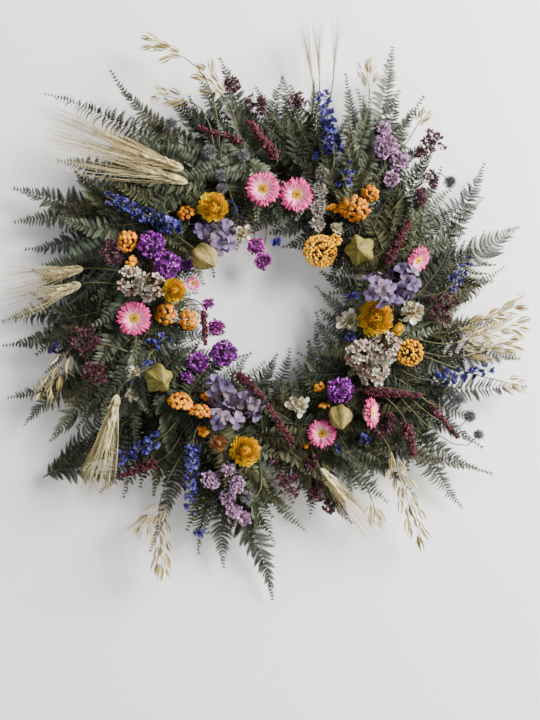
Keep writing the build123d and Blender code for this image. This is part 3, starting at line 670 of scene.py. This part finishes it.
# ---------------------------------------------------------------- kinds of flower
def strawflower(outer, inner, heart):
    """Papery bracts in a close bowl, darker at the heart."""
    def make(pile, head, rng):
        on_head(pile, CUP, head, colour(120, 96, 50))
        radius = head.radius
        number = int(200 * min(1.0, 0.5 + radius / (30 * MM)))
        turns, share = spiral(number)
        rises = np.radians(88 - 72 * share ** 0.9) + 0.10 * rng.standard_normal(number)
        whorl(pile, BRACT, head, turns, radius * (0.02 + 0.60 * share ** 0.6),
              radius * (0.28 - 0.50 * share ** 1.3), rises, radius * (0.18 + 0.20 * share),
              vary(rng, blend(inner, outer, share ** 0.5), number, 0.12, 0.03),
              roll=0.2 * rng.standard_normal(number))
        few = 16
        turns, share = spiral(few)
        whorl(pile, SCALE, head, turns, radius * 0.10 * share ** 0.5, radius * (0.44 - 0.06 * share),
              np.radians(88 - 24 * share), np.full(few, 0.13 * radius), vary(rng, heart, few, 0.15))
    return make


def daisy(pile, head, rng):
    """Paper daisy: pale rays tipped with pink about a yellow disc with a dark eye."""
    radius = head.radius
    on_head(pile, CUP, head, colour(150, 120, 96))
    for row, (rise, reach) in enumerate(((4, 0.98), (14, 0.92), (27, 0.82))):
        number = max(int(26 * radius / (10 * MM)), 22)
        turns = (np.arange(number) + row / 3) * 2 * pi / number + 0.05 * rng.standard_normal(number)
        rises = np.radians(rise) + 0.07 * rng.standard_normal(number)
        start = 0.2
        length = radius * (reach - start) * rng.uniform(0.9, 1.08, number)
        size = np.stack((length * 1.25, length, length), -1)
        whorl(pile, RAY, head, turns, start * radius, 0.02 * radius * row, rises, size,
              vary(rng, (1, 1, 1), number, 0.07, 0.02), roll=0.2 * rng.standard_normal(number))
    beads = 110
    turns, share = spiral(beads)
    tints = blend(colour(240, 190, 30), colour(254, 226, 60), share)
    tints[share < 0.04] = colour(120, 76, 30)
    whorl(pile, BEAD, head, turns, 0.36 * radius * share ** 0.5, radius * (0.16 - 0.06 * share),
          pi / 2, np.full((beads, 3), 0.026 * radius) * (1, 2.2, 1),
          tints * rng.uniform(0.8, 1.15, (beads, 1)))


def everlasting(pile, head, rng):
    """Cream paper flower, loose and irregular."""
    radius = head.radius
    on_head(pile, CUP, head, colour(150, 136, 96))
    number = 46
    turns, share = spiral(number)
    rises = np.radians(70 - 66 * share) + 0.28 * rng.standard_normal(number)
    size = radius * (0.42 + 0.4 * share) * rng.uniform(0.75, 1.15, number)
    whorl(pile, CRUMPLED, head, turns, radius * 0.34 * share, radius * (0.1 - 0.25 * share), rises, size,
          vary(rng, blend(colour(214, 196, 150), colour(238, 230, 206), share), number, 0.09, 0.03),
          roll=0.5 * rng.standard_normal(number))
    beads = 24
    turns, share = spiral(beads)
    whorl(pile, BEAD, head, turns, 0.2 * radius * share, 0.2 * radius, pi / 2,
          np.full((beads, 3), 0.05 * radius), vary(rng, colour(176, 132, 60), beads, 0.2))


def lantern(pile, head, rng):
    """Papery lantern husk: ribbed, veined and drawn to a point."""
    ribs = rng.integers(5, 7)
    start = rng.uniform(0, 2 * pi)
    profile = [(0.05, -0.9), (0.42, -0.85), (0.78, -0.6), (0.98, -0.2), (1.0, 0.12), (0.86, 0.45),
               (0.6, 0.75), (0.34, 0.98), (0.16, 1.14), (0.02, 1.24)]
    sides = 72
    wave = lambda turn: 0.80 + 0.24 * np.abs(np.cos(0.5 * ribs * turn)) ** 2.5
    points, quads, _ = turned_shape(profile, sides, wave)
    turn = np.tile(np.arange(sides) * 2 * pi / sides, len(profile))
    crease = np.abs(np.cos(0.5 * ribs * turn)) ** 10
    vein = np.cos(5 * ribs * turn + 7 * points[:, 1]) ** 4
    points = points * (1 + 0.025 * rng.standard_normal((len(points), 1)))
    shade = (0.9 - 0.35 * crease - 0.25 * vein)[:, None] * np.ones(3)
    frames = scaled(turned(head_frames(head), np.array([start])), np.array([head.radius]))
    tint = (colour(150, 140, 62), colour(136, 134, 66), colour(168, 148, 80))[rng.integers(3)]
    pile.scatter((points, quads, shade), [head.centre], frames, tint)


def statice(tints, gap_shade, size=3.3 * MM, dense=2.6):
    """Ruffled papery florets packed over a dark core, which is painted shade in the gaps between them."""
    def make(pile, head, rng):
        on_head(pile, SHADE_CORE, head, gap_shade)
        number = max(int(dense * 2 * (head.radius / size) ** 2), 9)
        place, way = over_dome(head, number, rng, deepest=-0.35, jitter=0.25)
        place = place - way * size * rng.uniform(0.4, 1.3, (number, 1))
        lobes = 4
        ways = np.repeat(way, lobes, axis=0)
        ways = unit(ways + 0.75 * rng.standard_normal(ways.shape))
        sizes = size * rng.uniform(0.6, 1.05, number * lobes)
        every = np.repeat(tints[rng.integers(len(tints), size=number)], lobes, axis=0)
        pile.scatter(CRUMPLED, np.repeat(place, lobes, axis=0),
                     scaled(facing(ways, rng), np.stack((1.25 * sizes, sizes, sizes), -1)),
                     vary(rng, 1.0, number * lobes, 0.16, 0.04) * every)
    return make


def hydrangea(tints, size, thickness, petal=PETAL):
    """Four-petalled florets, each on its own stalk."""
    def make(pile, head, rng):
        number = max(int(thickness * (head.radius / size) ** 2), 3)
        place, way = over_dome(head, number, rng, deepest=0.05, flat=0.5, jitter=0.15)
        looks = unit(way + 0.5 * head.axis + 0.2 * rng.standard_normal(way.shape))
        foot = head.centre - head.axis * 0.3 * head.radius
        for spot, look in zip(place, looks):
            floret = Form(centre=spot - look * 0.15 * size, axis=look)
            turns = rng.uniform(0, pi) + np.arange(4) * pi / 2 + 0.12 * rng.standard_normal(4)
            sizes = size * rng.uniform(0.82, 1.12, 4)
            tint = tints[rng.integers(len(tints))]
            whorl(pile, petal, floret, turns, 0.04 * size, 0.05 * size * np.arange(4) % (0.1 * size),
                  np.radians(12) + 0.22 * rng.standard_normal(4), sizes, vary(rng, tint, 4, 0.1, 0.04),
                  roll=0.3 * rng.standard_normal(4))
            bead(pile, spot, look, 0.1 * size, colour(120, 104, 84), rng)
            pile.tube([foot, 0.5 * (head.centre + spot), spot - look * 0.1 * size],
                      0.4 * MM, colour(110, 92, 70), 4)
    return make


def buttons(size, dense, tints, shape=BUTTON, flat=0.62, height=1.0):
    """Small round buttons on forking stalks."""
    def make(pile, head, rng):
        number = max(int(dense * 2 * (head.radius / size) ** 2), 3)
        place, way = over_dome(head, number, rng, deepest=0.0, flat=flat, jitter=0.1)
        way = unit(way + 0.8 * head.axis)
        place = place - way * size * rng.uniform(0.2, 0.9, (number, 1))
        sizes = size * rng.uniform(0.8, 1.1, number)
        every = tints[rng.integers(len(tints), size=number)]
        frames = scaled(facing(way, rng), np.stack((sizes, sizes * height, sizes), -1))
        pile.scatter(shape, place, frames, vary(rng, 1.0, number, 0.12, 0.04) * every)
        foot = head.centre - head.axis * 0.6 * head.radius
        for spot, look in zip(place, way):
            middle = 0.5 * (foot + spot) - 0.1 * (spot - foot)
            pile.tube([foot, middle, spot - look * 0.3 * size], 0.35 * MM, colour(92, 92, 54), 4)
    return make


def tufts(tints, size, few, clumps):
    """Small loose clumps of bracts, as on a sprig of oregano."""
    def make(pile, head, rng):
        number = max(int(clumps * head.radius / (5 * MM)), 3)
        place, way = over_dome(head, number, rng, deepest=-0.1, flat=0.6, jitter=0.35)
        place = place - way * head.radius * rng.uniform(0.05, 0.6, (number, 1))
        foot = head.centre - head.axis * 0.5 * head.radius
        for spot, look in zip(place, way):
            middle = 0.5 * (foot + spot) + 0.3 * MM * rng.standard_normal(3)
            pile.tube([foot, middle, spot], 0.32 * MM, colour(84, 62, 52), 4)
            ways = unit(rng.standard_normal((few, 3)) + 0.9 * look)
            starts = spot + ways * size * rng.uniform(0.1, 0.9, (few, 1))
            every = tints[rng.integers(len(tints), size=few)]
            pile.scatter(SCALE, starts, scaled(facing(ways, rng), size * rng.uniform(0.6, 1.1, few)),
                         vary(rng, 1.0, few, 0.2, 0.06) * every)
    return make


def thistle(pile, head, rng):
    """Globe thistle: a ball of steel-blue points."""
    radius = head.radius
    number = 170
    place, way = over_dome(head, number, rng, deepest=-0.97, flat=1.0, jitter=0.05)
    base = facing(way, rng)
    pile.scatter(BALL, [head.centre], scaled(base[:1], np.array([radius])), colour(70, 70, 72))
    sizes = radius * rng.uniform(0.42, 0.56, number)
    frames = scaled(base, np.stack((1.9 * sizes, sizes, sizes), -1))
    every = blend(colour(92, 94, 106), colour(136, 134, 134), rng.random(number))
    pile.scatter(SPINE, head.centre + 0.56 * radius * way, frames, every)


LARKSPUR_TINTS = colours((56, 56, 126), (70, 66, 146), (88, 82, 158), (46, 44, 98), (84, 74, 140))


def larkspur_floret(pile, spot, look, size, rng):
    """One crumpled blue floret with its spur."""
    floret = Form(centre=spot, axis=look)
    petals = 6
    turns = rng.uniform(0, 2 * pi) + np.arange(petals) * 2 * pi / petals
    turns = turns + 0.2 * rng.standard_normal(petals)
    tint = LARKSPUR_TINTS[rng.integers(len(LARKSPUR_TINTS))]
    whorl(pile, CRUMPLED, floret, turns, 0.05 * size, 0.0,
          np.radians(30) + 0.35 * rng.standard_normal(petals), size * rng.uniform(0.7, 1.1, petals),
          vary(rng, tint, petals, 0.2, 0.08), roll=0.5 * rng.standard_normal(petals))
    ways = unit(look + 0.3 * rng.standard_normal((2, 3)))
    pile.scatter(SCALE, [spot, spot], scaled(facing(ways, rng), np.full(2, 0.45 * size)),
                 colour(164, 156, 190))


def larkspur_single(pile, head, rng):
    """Two florets back to back, as a single bloom."""
    for way in (head.axis, unit(head.axis + 0.7 * rng.standard_normal(3))):
        larkspur_floret(pile, head.centre + 0.1 * head.radius * way, way, 0.95 * head.radius, rng)


# ---------------------------------------------------------------- kinds of spike
def spikes(node, finish, maker, seed, **look):
    """One piece of dried plant for all slender heads of a CAD node."""
    rng = np.random.default_rng(seed)
    pile = Pile()
    for solid in cad_solids(node):
        spray = spike_from(solid)
        spray.foot, spray.way = spray.start, spray.axis
        stalk(pile, spray, STALK_TINT * rng.uniform(0.5, 0.9), radius=0.65 * MM)
        spray.length = np.linalg.norm(spray.end - spray.start)
        spray.across = basis(spray.axis)
        maker(pile, spray, rng)
    pile.build("dried_" + node, plant_material("dry_" + node, **look), node)


def around(spray, share, turn, radius):
    """Place at a share of a spray's length, a turn about it and a distance from it."""
    u, v = spray.across
    out = np.cos(turn)[..., None] * u + np.sin(turn)[..., None] * v
    spot = spray.start + (spray.end - spray.start) * np.asarray(share)[..., None]
    return spot + out * np.asarray(radius)[..., None], out


def stem_through(pile, spray, radii, tint):
    """A spray's own stem from end to end, by its radii in millimetres."""
    start, end = spray.start, spray.end
    pile.tube([start, 0.5 * (start + end), end], np.array(radii) * MM, tint, 5)


def larkspur(pile, spray, rng):
    """Blue florets up a spike, smaller towards its tip."""
    stem_through(pile, spray, (0.9, 0.7, 0.3), colour(96, 98, 66))
    number = max(int(spray.length / (3.6 * MM)), 3)
    share = np.linspace(0.02, 0.97, number)
    turn = np.arange(number) * 2.3 + rng.uniform(0, 6)
    spots, out = around(spray, share, turn, 0.35 * spray.radius * np.ones(number))
    for s, spot, look in zip(share, spots, out):
        look = unit(look + 0.5 * spray.axis + 0.6 * FRONT + 0.2 * rng.standard_normal(3))
        larkspur_floret(pile, spot, look, spray.radius * (1.05 - 0.45 * s), rng)


def amaranth(pile, spray, rng):
    """A dark red tassel, thick with lumpy beads."""
    line = spray.start + (spray.end - spray.start) * np.linspace(0, 1, 8)[:, None]
    body = 0.45 * spray.radius * np.array([0.5, 0.9, 1, 1, 0.95, 0.85, 0.6, 0.2])
    pile.tube(line, body, colour(50, 14, 26), 8)
    number = int(spray.length * spray.radius / (MM * MM) * 1.25)
    share = rng.random(number)
    turn = rng.uniform(0, 2 * pi, number)
    lumps = 0.78 + 0.22 * np.sin(share * spray.length / MM * 0.9 + 2 * turn + rng.uniform(0, 6))
    slim = np.clip(1.25 - 0.85 * share, 0.3, 1) * np.clip(share * 8 + 0.5, 0, 1) * lumps
    spots, out = around(spray, share, turn, spray.radius * slim * rng.uniform(0.4, 1.0, number))
    tints = colours((76, 22, 36), (94, 34, 48), (58, 18, 28), (106, 54, 60))
    frames = facing(unit(out + 0.7 * spray.axis), rng)
    sizes = [rng.uniform(low, high, number) * MM for low, high in ((0.8, 1.3), (1.1, 2.0), (0.8, 1.3))]
    pile.scatter(BEAD, spots, scaled(frames, np.stack(sizes, -1)),
                 vary(rng, 1.0, number, 0.2, 0.06) * tints[rng.integers(len(tints), size=number)])


STRAW_TINTS = colours((210, 192, 140), (192, 170, 112), (224, 210, 162))


def barley(pile, spray, rng):
    """Rows of grains, each with a long awn that opens outwards."""
    ear = min(spray.widest / 0.3, spray.length)
    side = unit(np.cross(spray.axis, FRONT))
    rows = max(int(ear / (2.7 * MM)), 8)
    for row in range(rows):
        share = row / rows
        spot = spray.start + spray.axis * ear * share
        slim = np.sin(pi * (0.18 + 0.74 * share))
        for hand in (-1, 0, 1):
            lean = side * hand * 0.42 + FRONT * (0.35 if hand == 0 else 0.06)
            way = unit(spray.axis + lean + 0.05 * rng.standard_normal(3))
            out = spot + (way - spray.axis * (way @ spray.axis)) * 4.5 * MM * slim
            tint = STRAW_TINTS[rng.integers(3)] * rng.uniform(0.75, 1.1)
            bead(pile, out + way * 4 * MM, way, np.array((1.7, 5.2, 1.5)) * MM, tint, rng)
            if hand == 0 and row % 2:
                continue
            reach = (spray.length - ear * share) * rng.uniform(0.82, 0.99)
            t = np.linspace(0, 1, 7)[:, None]
            aside = side * hand * 0.16 + side * 0.10 * rng.standard_normal()
            aside = aside + FRONT * rng.uniform(-0.02, 0.12)
            ahead = (spray.axis * t + aside * t * (1 - 0.35 * t)) * reach * 0.93
            awn = out + way * 8 * MM * np.minimum(4 * t, 1) + ahead
            tint = STRAW_TINTS[rng.integers(3)] * rng.uniform(0.8, 1.15)
            pile.tube(awn, np.linspace(0.34, 0.1, 7) * MM, tint, 3)


def oats(pile, spray, rng):
    """Nodding oat: papery spikelets that hang apart on hair-thin branches."""
    number = max(int(spray.length / (4.6 * MM)), 6)
    stem_through(pile, spray, (0.7, 0.5, 0.2), STRAW_TINTS[1])
    share = np.linspace(0.0, 0.84, number)
    turn = np.arange(number) * 2.4 + rng.uniform(0, 6)
    joints, out = around(spray, share, turn, np.full(number, 0.3 * MM))
    for joint, aside in zip(joints, out):
        room = (spray.end - joint) @ spray.axis
        length = min(rng.uniform(12, 17) * MM, max(room, 9 * MM))
        way = unit(spray.axis + 0.42 * aside - 0.25 * UP + 0.12 * rng.standard_normal(3))
        spread = rng.uniform(0.5, 1.0) * spray.radius
        hang = joint + spray.axis * min(3 * MM, max(room - length, 0)) + aside * spread
        pile.tube([joint, 0.5 * (joint + hang) + 0.25 * aside * spread, hang], 0.2 * MM, STRAW_TINTS[1], 4)
        base = facing(way[None], rng)
        tint = STRAW_TINTS[rng.integers(3)]
        for part in range(3):
            frames = turned(base, np.array([part * 2 * pi / 3]))
            frames = axes_along(frames[..., 1] + 0.10 * frames[..., 2], frames[..., 2])
            pile.scatter(GLUME, [hang + frames[0, :, 2] * 0.4 * MM],
                         scaled(frames, np.array([[length * 0.8, length, length * 0.8]])),
                         tint * rng.uniform(0.8, 1.2))
        if room > 1.5 * length:
            whisker = hang + way * length * np.array((0.7, 1.15, 1.5))[:, None]
            pile.tube(whisker, [0.18 * MM, 0.14 * MM, 0.08 * MM], STRAW_TINTS[2], 3)


def awns(pile, spray, rng):
    """Hair-thin awns that spread from a stem, with a grain at the foot of each."""
    tint = colour(196, 188, 164)
    pile.tube([spray.start, spray.end], [0.7 * MM, 0.25 * MM], tint, 4)
    number = 22
    share = rng.uniform(0, 0.45, number)
    turn = rng.uniform(0, 2 * pi, number)
    joints, out = around(spray, share, turn, np.full(number, 0.4 * MM))
    for s, joint, aside in zip(share, joints, out):
        reach = spray.length * (1 - s) * rng.uniform(0.75, 1.0)
        t = np.linspace(0, 1, 6)[:, None]
        path = joint + spray.axis * reach * t + aside * reach * 0.13 * t ** 1.3
        pile.tube(path, np.linspace(0.2, 0.08, 6) * MM, tint * rng.uniform(0.8, 1.15), 3)
        bead(pile, path[0], spray.axis, np.array((0.7, 3.4, 0.7)) * MM, STRAW_TINTS[1], rng)


# ---------------------------------------------------------------- the flowers
GOLD, AMBER, RUST = colour(255, 206, 0), colour(254, 178, 0), colour(238, 148, 4)
grow("yellow_strawflowers", "disc", "yellow_petals", strawflower(GOLD, AMBER, RUST), 1,
     mottle=0.2, roughness=0.55, depth=0.95)
grow("apricot_strawflower", "disc", "apricot_petals",
     strawflower(*colours((224, 170, 110), (190, 110, 60), (120, 66, 36))), 2, mottle=0.2, roughness=0.6)
grow("pink_paper_daisies", "disc", "pink_petals", daisy, 3, mottle=0.1, roughness=0.6, depth=0.95)
grow("cream_everlastings", "disc", "cream_petals", everlasting, 4, mottle=0.15, roughness=0.65)
grow("lantern_pods", "lantern", "lantern_husk", lantern, 5,
     spread=1.05, mottle=0.4, patch=240.0, roughness=0.6)
MAUVES = colours((112, 94, 132), (130, 112, 146), (96, 82, 116), (126, 104, 122))
CREAMS = colours((206, 190, 172), (186, 168, 150), (168, 140, 118), (216, 204, 192))
grow("purple_hydrangea", "dome", "hydrangea_purple", hydrangea(MAUVES, 9 * MM, 3.3), 6,
     mottle=0.35, patch=260.0)
grow("white_hydrangea", "dome", "hydrangea_white", hydrangea(CREAMS, 5.2 * MM, 4.2, CRUMPLED), 7,
     mottle=0.35, patch=400.0)
PURPLES = colours((168, 58, 180), (186, 88, 200), (134, 44, 152))
MAGENTAS = colours((176, 52, 162), (200, 84, 186), (140, 40, 130))
PEARLS = colours((206, 196, 190), (186, 174, 164), (160, 148, 134))
LILACS = colours((206, 164, 200), (188, 140, 186), (220, 188, 214))
# The second colour of each statice is its core's painted shade.
grow("purple_statice", "dome", "statice_purple", statice(PURPLES, colour(56, 22, 62)), 8, mottle=0.2)
grow("magenta_statice", "dome", "statice_magenta", statice(MAGENTAS, colour(66, 22, 60)), 9, mottle=0.2)
grow("pearly_statice", "dome", "statice_pearl", statice(PEARLS, colour(84, 80, 66), 2.3 * MM), 10)
grow("lilac_statice", "dome", "statice_lilac", statice(LILACS, colour(100, 72, 88), 2.9 * MM), 11)
grow("tansy_buttons", "dome", "tansy",
     buttons(2.5 * MM, 0.8, colours((226, 136, 0), (202, 112, 0), (240, 158, 4))), 12,
     mottle=0.3, grain=2600.0, bump=0.7)
grow("yarrow_heads", "dome", "yarrow",
     buttons(1.5 * MM, 0.8, colours((238, 170, 4), (212, 138, 4), (248, 190, 20)), BEAD, 0.4, 1.3), 13,
     depth=0.9)
grow("oregano_sprigs", "dome", "oregano",
     tufts(colours((84, 34, 54), (104, 50, 70), (66, 28, 44), (112, 84, 84)), 3.1 * MM, 26, 6), 14)
grow("globe_thistles", "ball", "thistle", thistle, 15, spread=1.1)
grow("larkspur_florets", "dome", "larkspur", larkspur_single, 16, spread=1.35)
spikes("larkspur_sprays", "larkspur", larkspur, 17)
spikes("amaranth_tassels", "amaranth", amaranth, 18)
spikes("barley_ears", "barley", barley, 19, roughness=0.6)
spikes("oat_sprays", "oats", oats, 20, roughness=0.6)
spikes("awn_grass", "awn_straw", awns, 21)


# ---------------------------------------------------------------- bound stems and wires
STEM_STEPS = 25
STEM_TINTS = colours((104, 98, 62), (126, 112, 74), (86, 84, 52), (142, 126, 88))


def bound_stems():
    """Stems of each posy, running round the frame under the binding wire."""
    bark = plant_material("dry_stems", mottle=0.45, patch=160.0, roughness=0.8)
    for hour in HOURS:
        node = f"posy_stems_{hour}_oclock"
        rng = np.random.default_rng(300 + hour)
        pile = Pile()
        for solid in cad_solids(node):
            x, z = solid[:, 0] - CENTRE[0], solid[:, 2] - CENTRE[2]
            heading = np.arctan2(z.sum(), x.sum())
            turn = np.angle(np.exp(1j * (np.arctan2(z, x) - heading)))
            radius = np.hypot(x, z)
            middle = 0.5 * (radius.min() + radius.max())
            depth = 0.5 * (solid[:, 1].min() + solid[:, 1].max())
            angles = heading + np.linspace(turn.min(), turn.max(), STEM_STEPS)
            path = CENTRE + np.stack((middle * np.cos(angles), np.full(STEM_STEPS, depth),
                                      middle * np.sin(angles)), -1)
            path += 0.12 * MM * rng.standard_normal((STEM_STEPS, 3))
            tint = STEM_TINTS[rng.integers(len(STEM_TINTS))]
            pile.tube(path, np.linspace(1.36, 1.15, STEM_STEPS) * MM, tint, 8)
        pile.build(f"bound_stems_{hour}_oclock", bark, node)


def wire_material(name, tint, metallic, roughness):
    """Drawn wire: fine streaks in colour and gloss, a little tarnished."""
    material, nodes, links, shader, place = new_material(name)
    noise = new_node(nodes, "TexNoise", Scale=420.0, Detail=4)
    links.new(place, noise.inputs["Vector"])
    links.new(between(nodes, links, noise, tint * 0.7, tint * 1.2), shader.inputs["Base Color"])
    wandering_gloss(nodes, links, shader, noise, roughness - 0.1, roughness + 0.15)
    shader.inputs["Metallic"].default_value = metallic
    return material


bound_stems()
WIRE_MATERIALS = {
    "frame": wire_material("painted_frame_wire", colour(52, 56, 48), 0.0, 0.45),
    "binding": wire_material("green_binding_wire", colour(58, 72, 50), 0.6, 0.45),
    "hanger": wire_material("steel_hanger_wire", colour(150, 150, 146), 1.0, 0.35),
}
WIRE_KINDS = {"outer_frame_ring": "frame", "inner_frame_ring": "frame", "frame_cross_bars": "frame",
              "binding_wire": "binding", "hanging_loop": "hanger"}
for node, kind in WIRE_KINDS.items():
    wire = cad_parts[node]
    wire.data.materials.clear()
    wire.data.materials.append(WIRE_MATERIALS[kind])


# ---------------------------------------------------------------- room, light and camera
def plain_material(name, tint, roughness, grain, one_sided=False):
    """Painted surface with faint unevenness; a one-sided wall isn't seen from behind."""
    material, nodes, links, shader, place = new_material(name)
    noise = new_node(nodes, "TexNoise", Scale=grain, Detail=5)
    links.new(place, noise.inputs["Vector"])
    links.new(between(nodes, links, noise, tint * 0.96, tint * 1.03), shader.inputs["Base Color"])
    relief(nodes, links, shader, noise, 0.12, 0.5 * MM)
    shader.inputs["Roughness"].default_value = roughness
    if one_sided:
        clear = nodes.new("ShaderNodeBsdfTransparent")
        side = nodes.new("ShaderNodeNewGeometry")
        choose = nodes.new("ShaderNodeMixShader")
        links.new(side.outputs["Backfacing"], choose.inputs["Fac"])
        links.new(shader.outputs["BSDF"], choose.inputs[1])
        links.new(clear.outputs["BSDF"], choose.inputs[2])
        links.new(choose.outputs["Shader"], nodes["Material Output"].inputs["Surface"])
    return material


def stage_plane(name, corners, material):
    """A flat surface of the room, which isn't part of the wreath."""
    mesh = bpy.data.meshes.new(name)
    mesh.from_pydata(corners, [], [(0, 1, 2, 3)])
    mesh.materials.append(material)
    plane = bpy.data.objects.new(name, mesh)
    bpy.context.scene.collection.objects.link(plane)
    plane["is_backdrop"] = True
    return plane


def area_light(name, place, size, power, tint):
    """A square lamp that looks at the wreath's middle."""
    light = bpy.data.lights.new(name, "AREA")
    light.shape = "RECTANGLE"
    light.size = light.size_y = size
    light.energy = power
    light.color = tint
    lamp = bpy.data.objects.new(name, light)
    lamp.location = place
    lamp.rotation_euler = Vector(CENTRE - np.array(place)).to_track_quat("-Z", "Y").to_euler()
    bpy.context.scene.collection.objects.link(lamp)


WALL_Y = 4.0 * MM
LEFT, RIGHT, NEAR, FAR = -4, 4, -5, 4
FLOOR_Z, TOP_Z = -1.3, 3
wall = stage_plane("wall", [(LEFT, WALL_Y, FLOOR_Z), (RIGHT, WALL_Y, FLOOR_Z), (RIGHT, WALL_Y, TOP_Z),
                            (LEFT, WALL_Y, TOP_Z)],
                   plain_material("wall_paint", colour(247, 246, 247), 0.85, 260.0, one_sided=True))
wall.visible_shadow = False
stage_plane("floor", [(LEFT, NEAR, FLOOR_Z), (RIGHT, NEAR, FLOOR_Z), (RIGHT, FAR, FLOOR_Z),
                      (LEFT, FAR, FLOOR_Z)],
            plain_material("floor_paint", colour(176, 174, 170), 0.7, 30.0))

area_light("key", (1.7, -1.05, 0.75), 1.3, 240, (1.0, 0.985, 0.965))
area_light("fill", (-1.8, -1.6, 0.2), 2.0, 14, (0.88, 0.93, 1.0))
area_light("back", (0.8, 2.0, 0.8), 1.5, 44, (1.0, 1.0, 1.0))

world = bpy.data.worlds.new("room")
world.use_nodes = True
sky = world.node_tree.nodes["Background"].inputs
sky["Color"].default_value = (0.80, 0.86, 0.95, 1)
sky["Strength"].default_value = 0.22
bpy.context.scene.world = world

CAMERA_DISTANCE = 1.3
VIEW_HEIGHT = 0.749       # height of the wall that the picture takes in
SENSOR = 36
camera_data = bpy.data.cameras.new("camera")
camera_data.sensor_fit = "VERTICAL"
camera_data.sensor_height = SENSOR
camera_data.lens = SENSOR * CAMERA_DISTANCE / VIEW_HEIGHT
camera = bpy.data.objects.new("camera", camera_data)
camera.location = (CENTRE[0] + 8 * MM, -CAMERA_DISTANCE, CENTRE[2] - 62 * MM)
camera.rotation_euler = (pi / 2, 0, 0)
bpy.context.scene.collection.objects.link(camera)
bpy.context.scene.camera = camera

both = [[list(map(float, corner)) for corner in box] for box in (cad_bounds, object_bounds())]
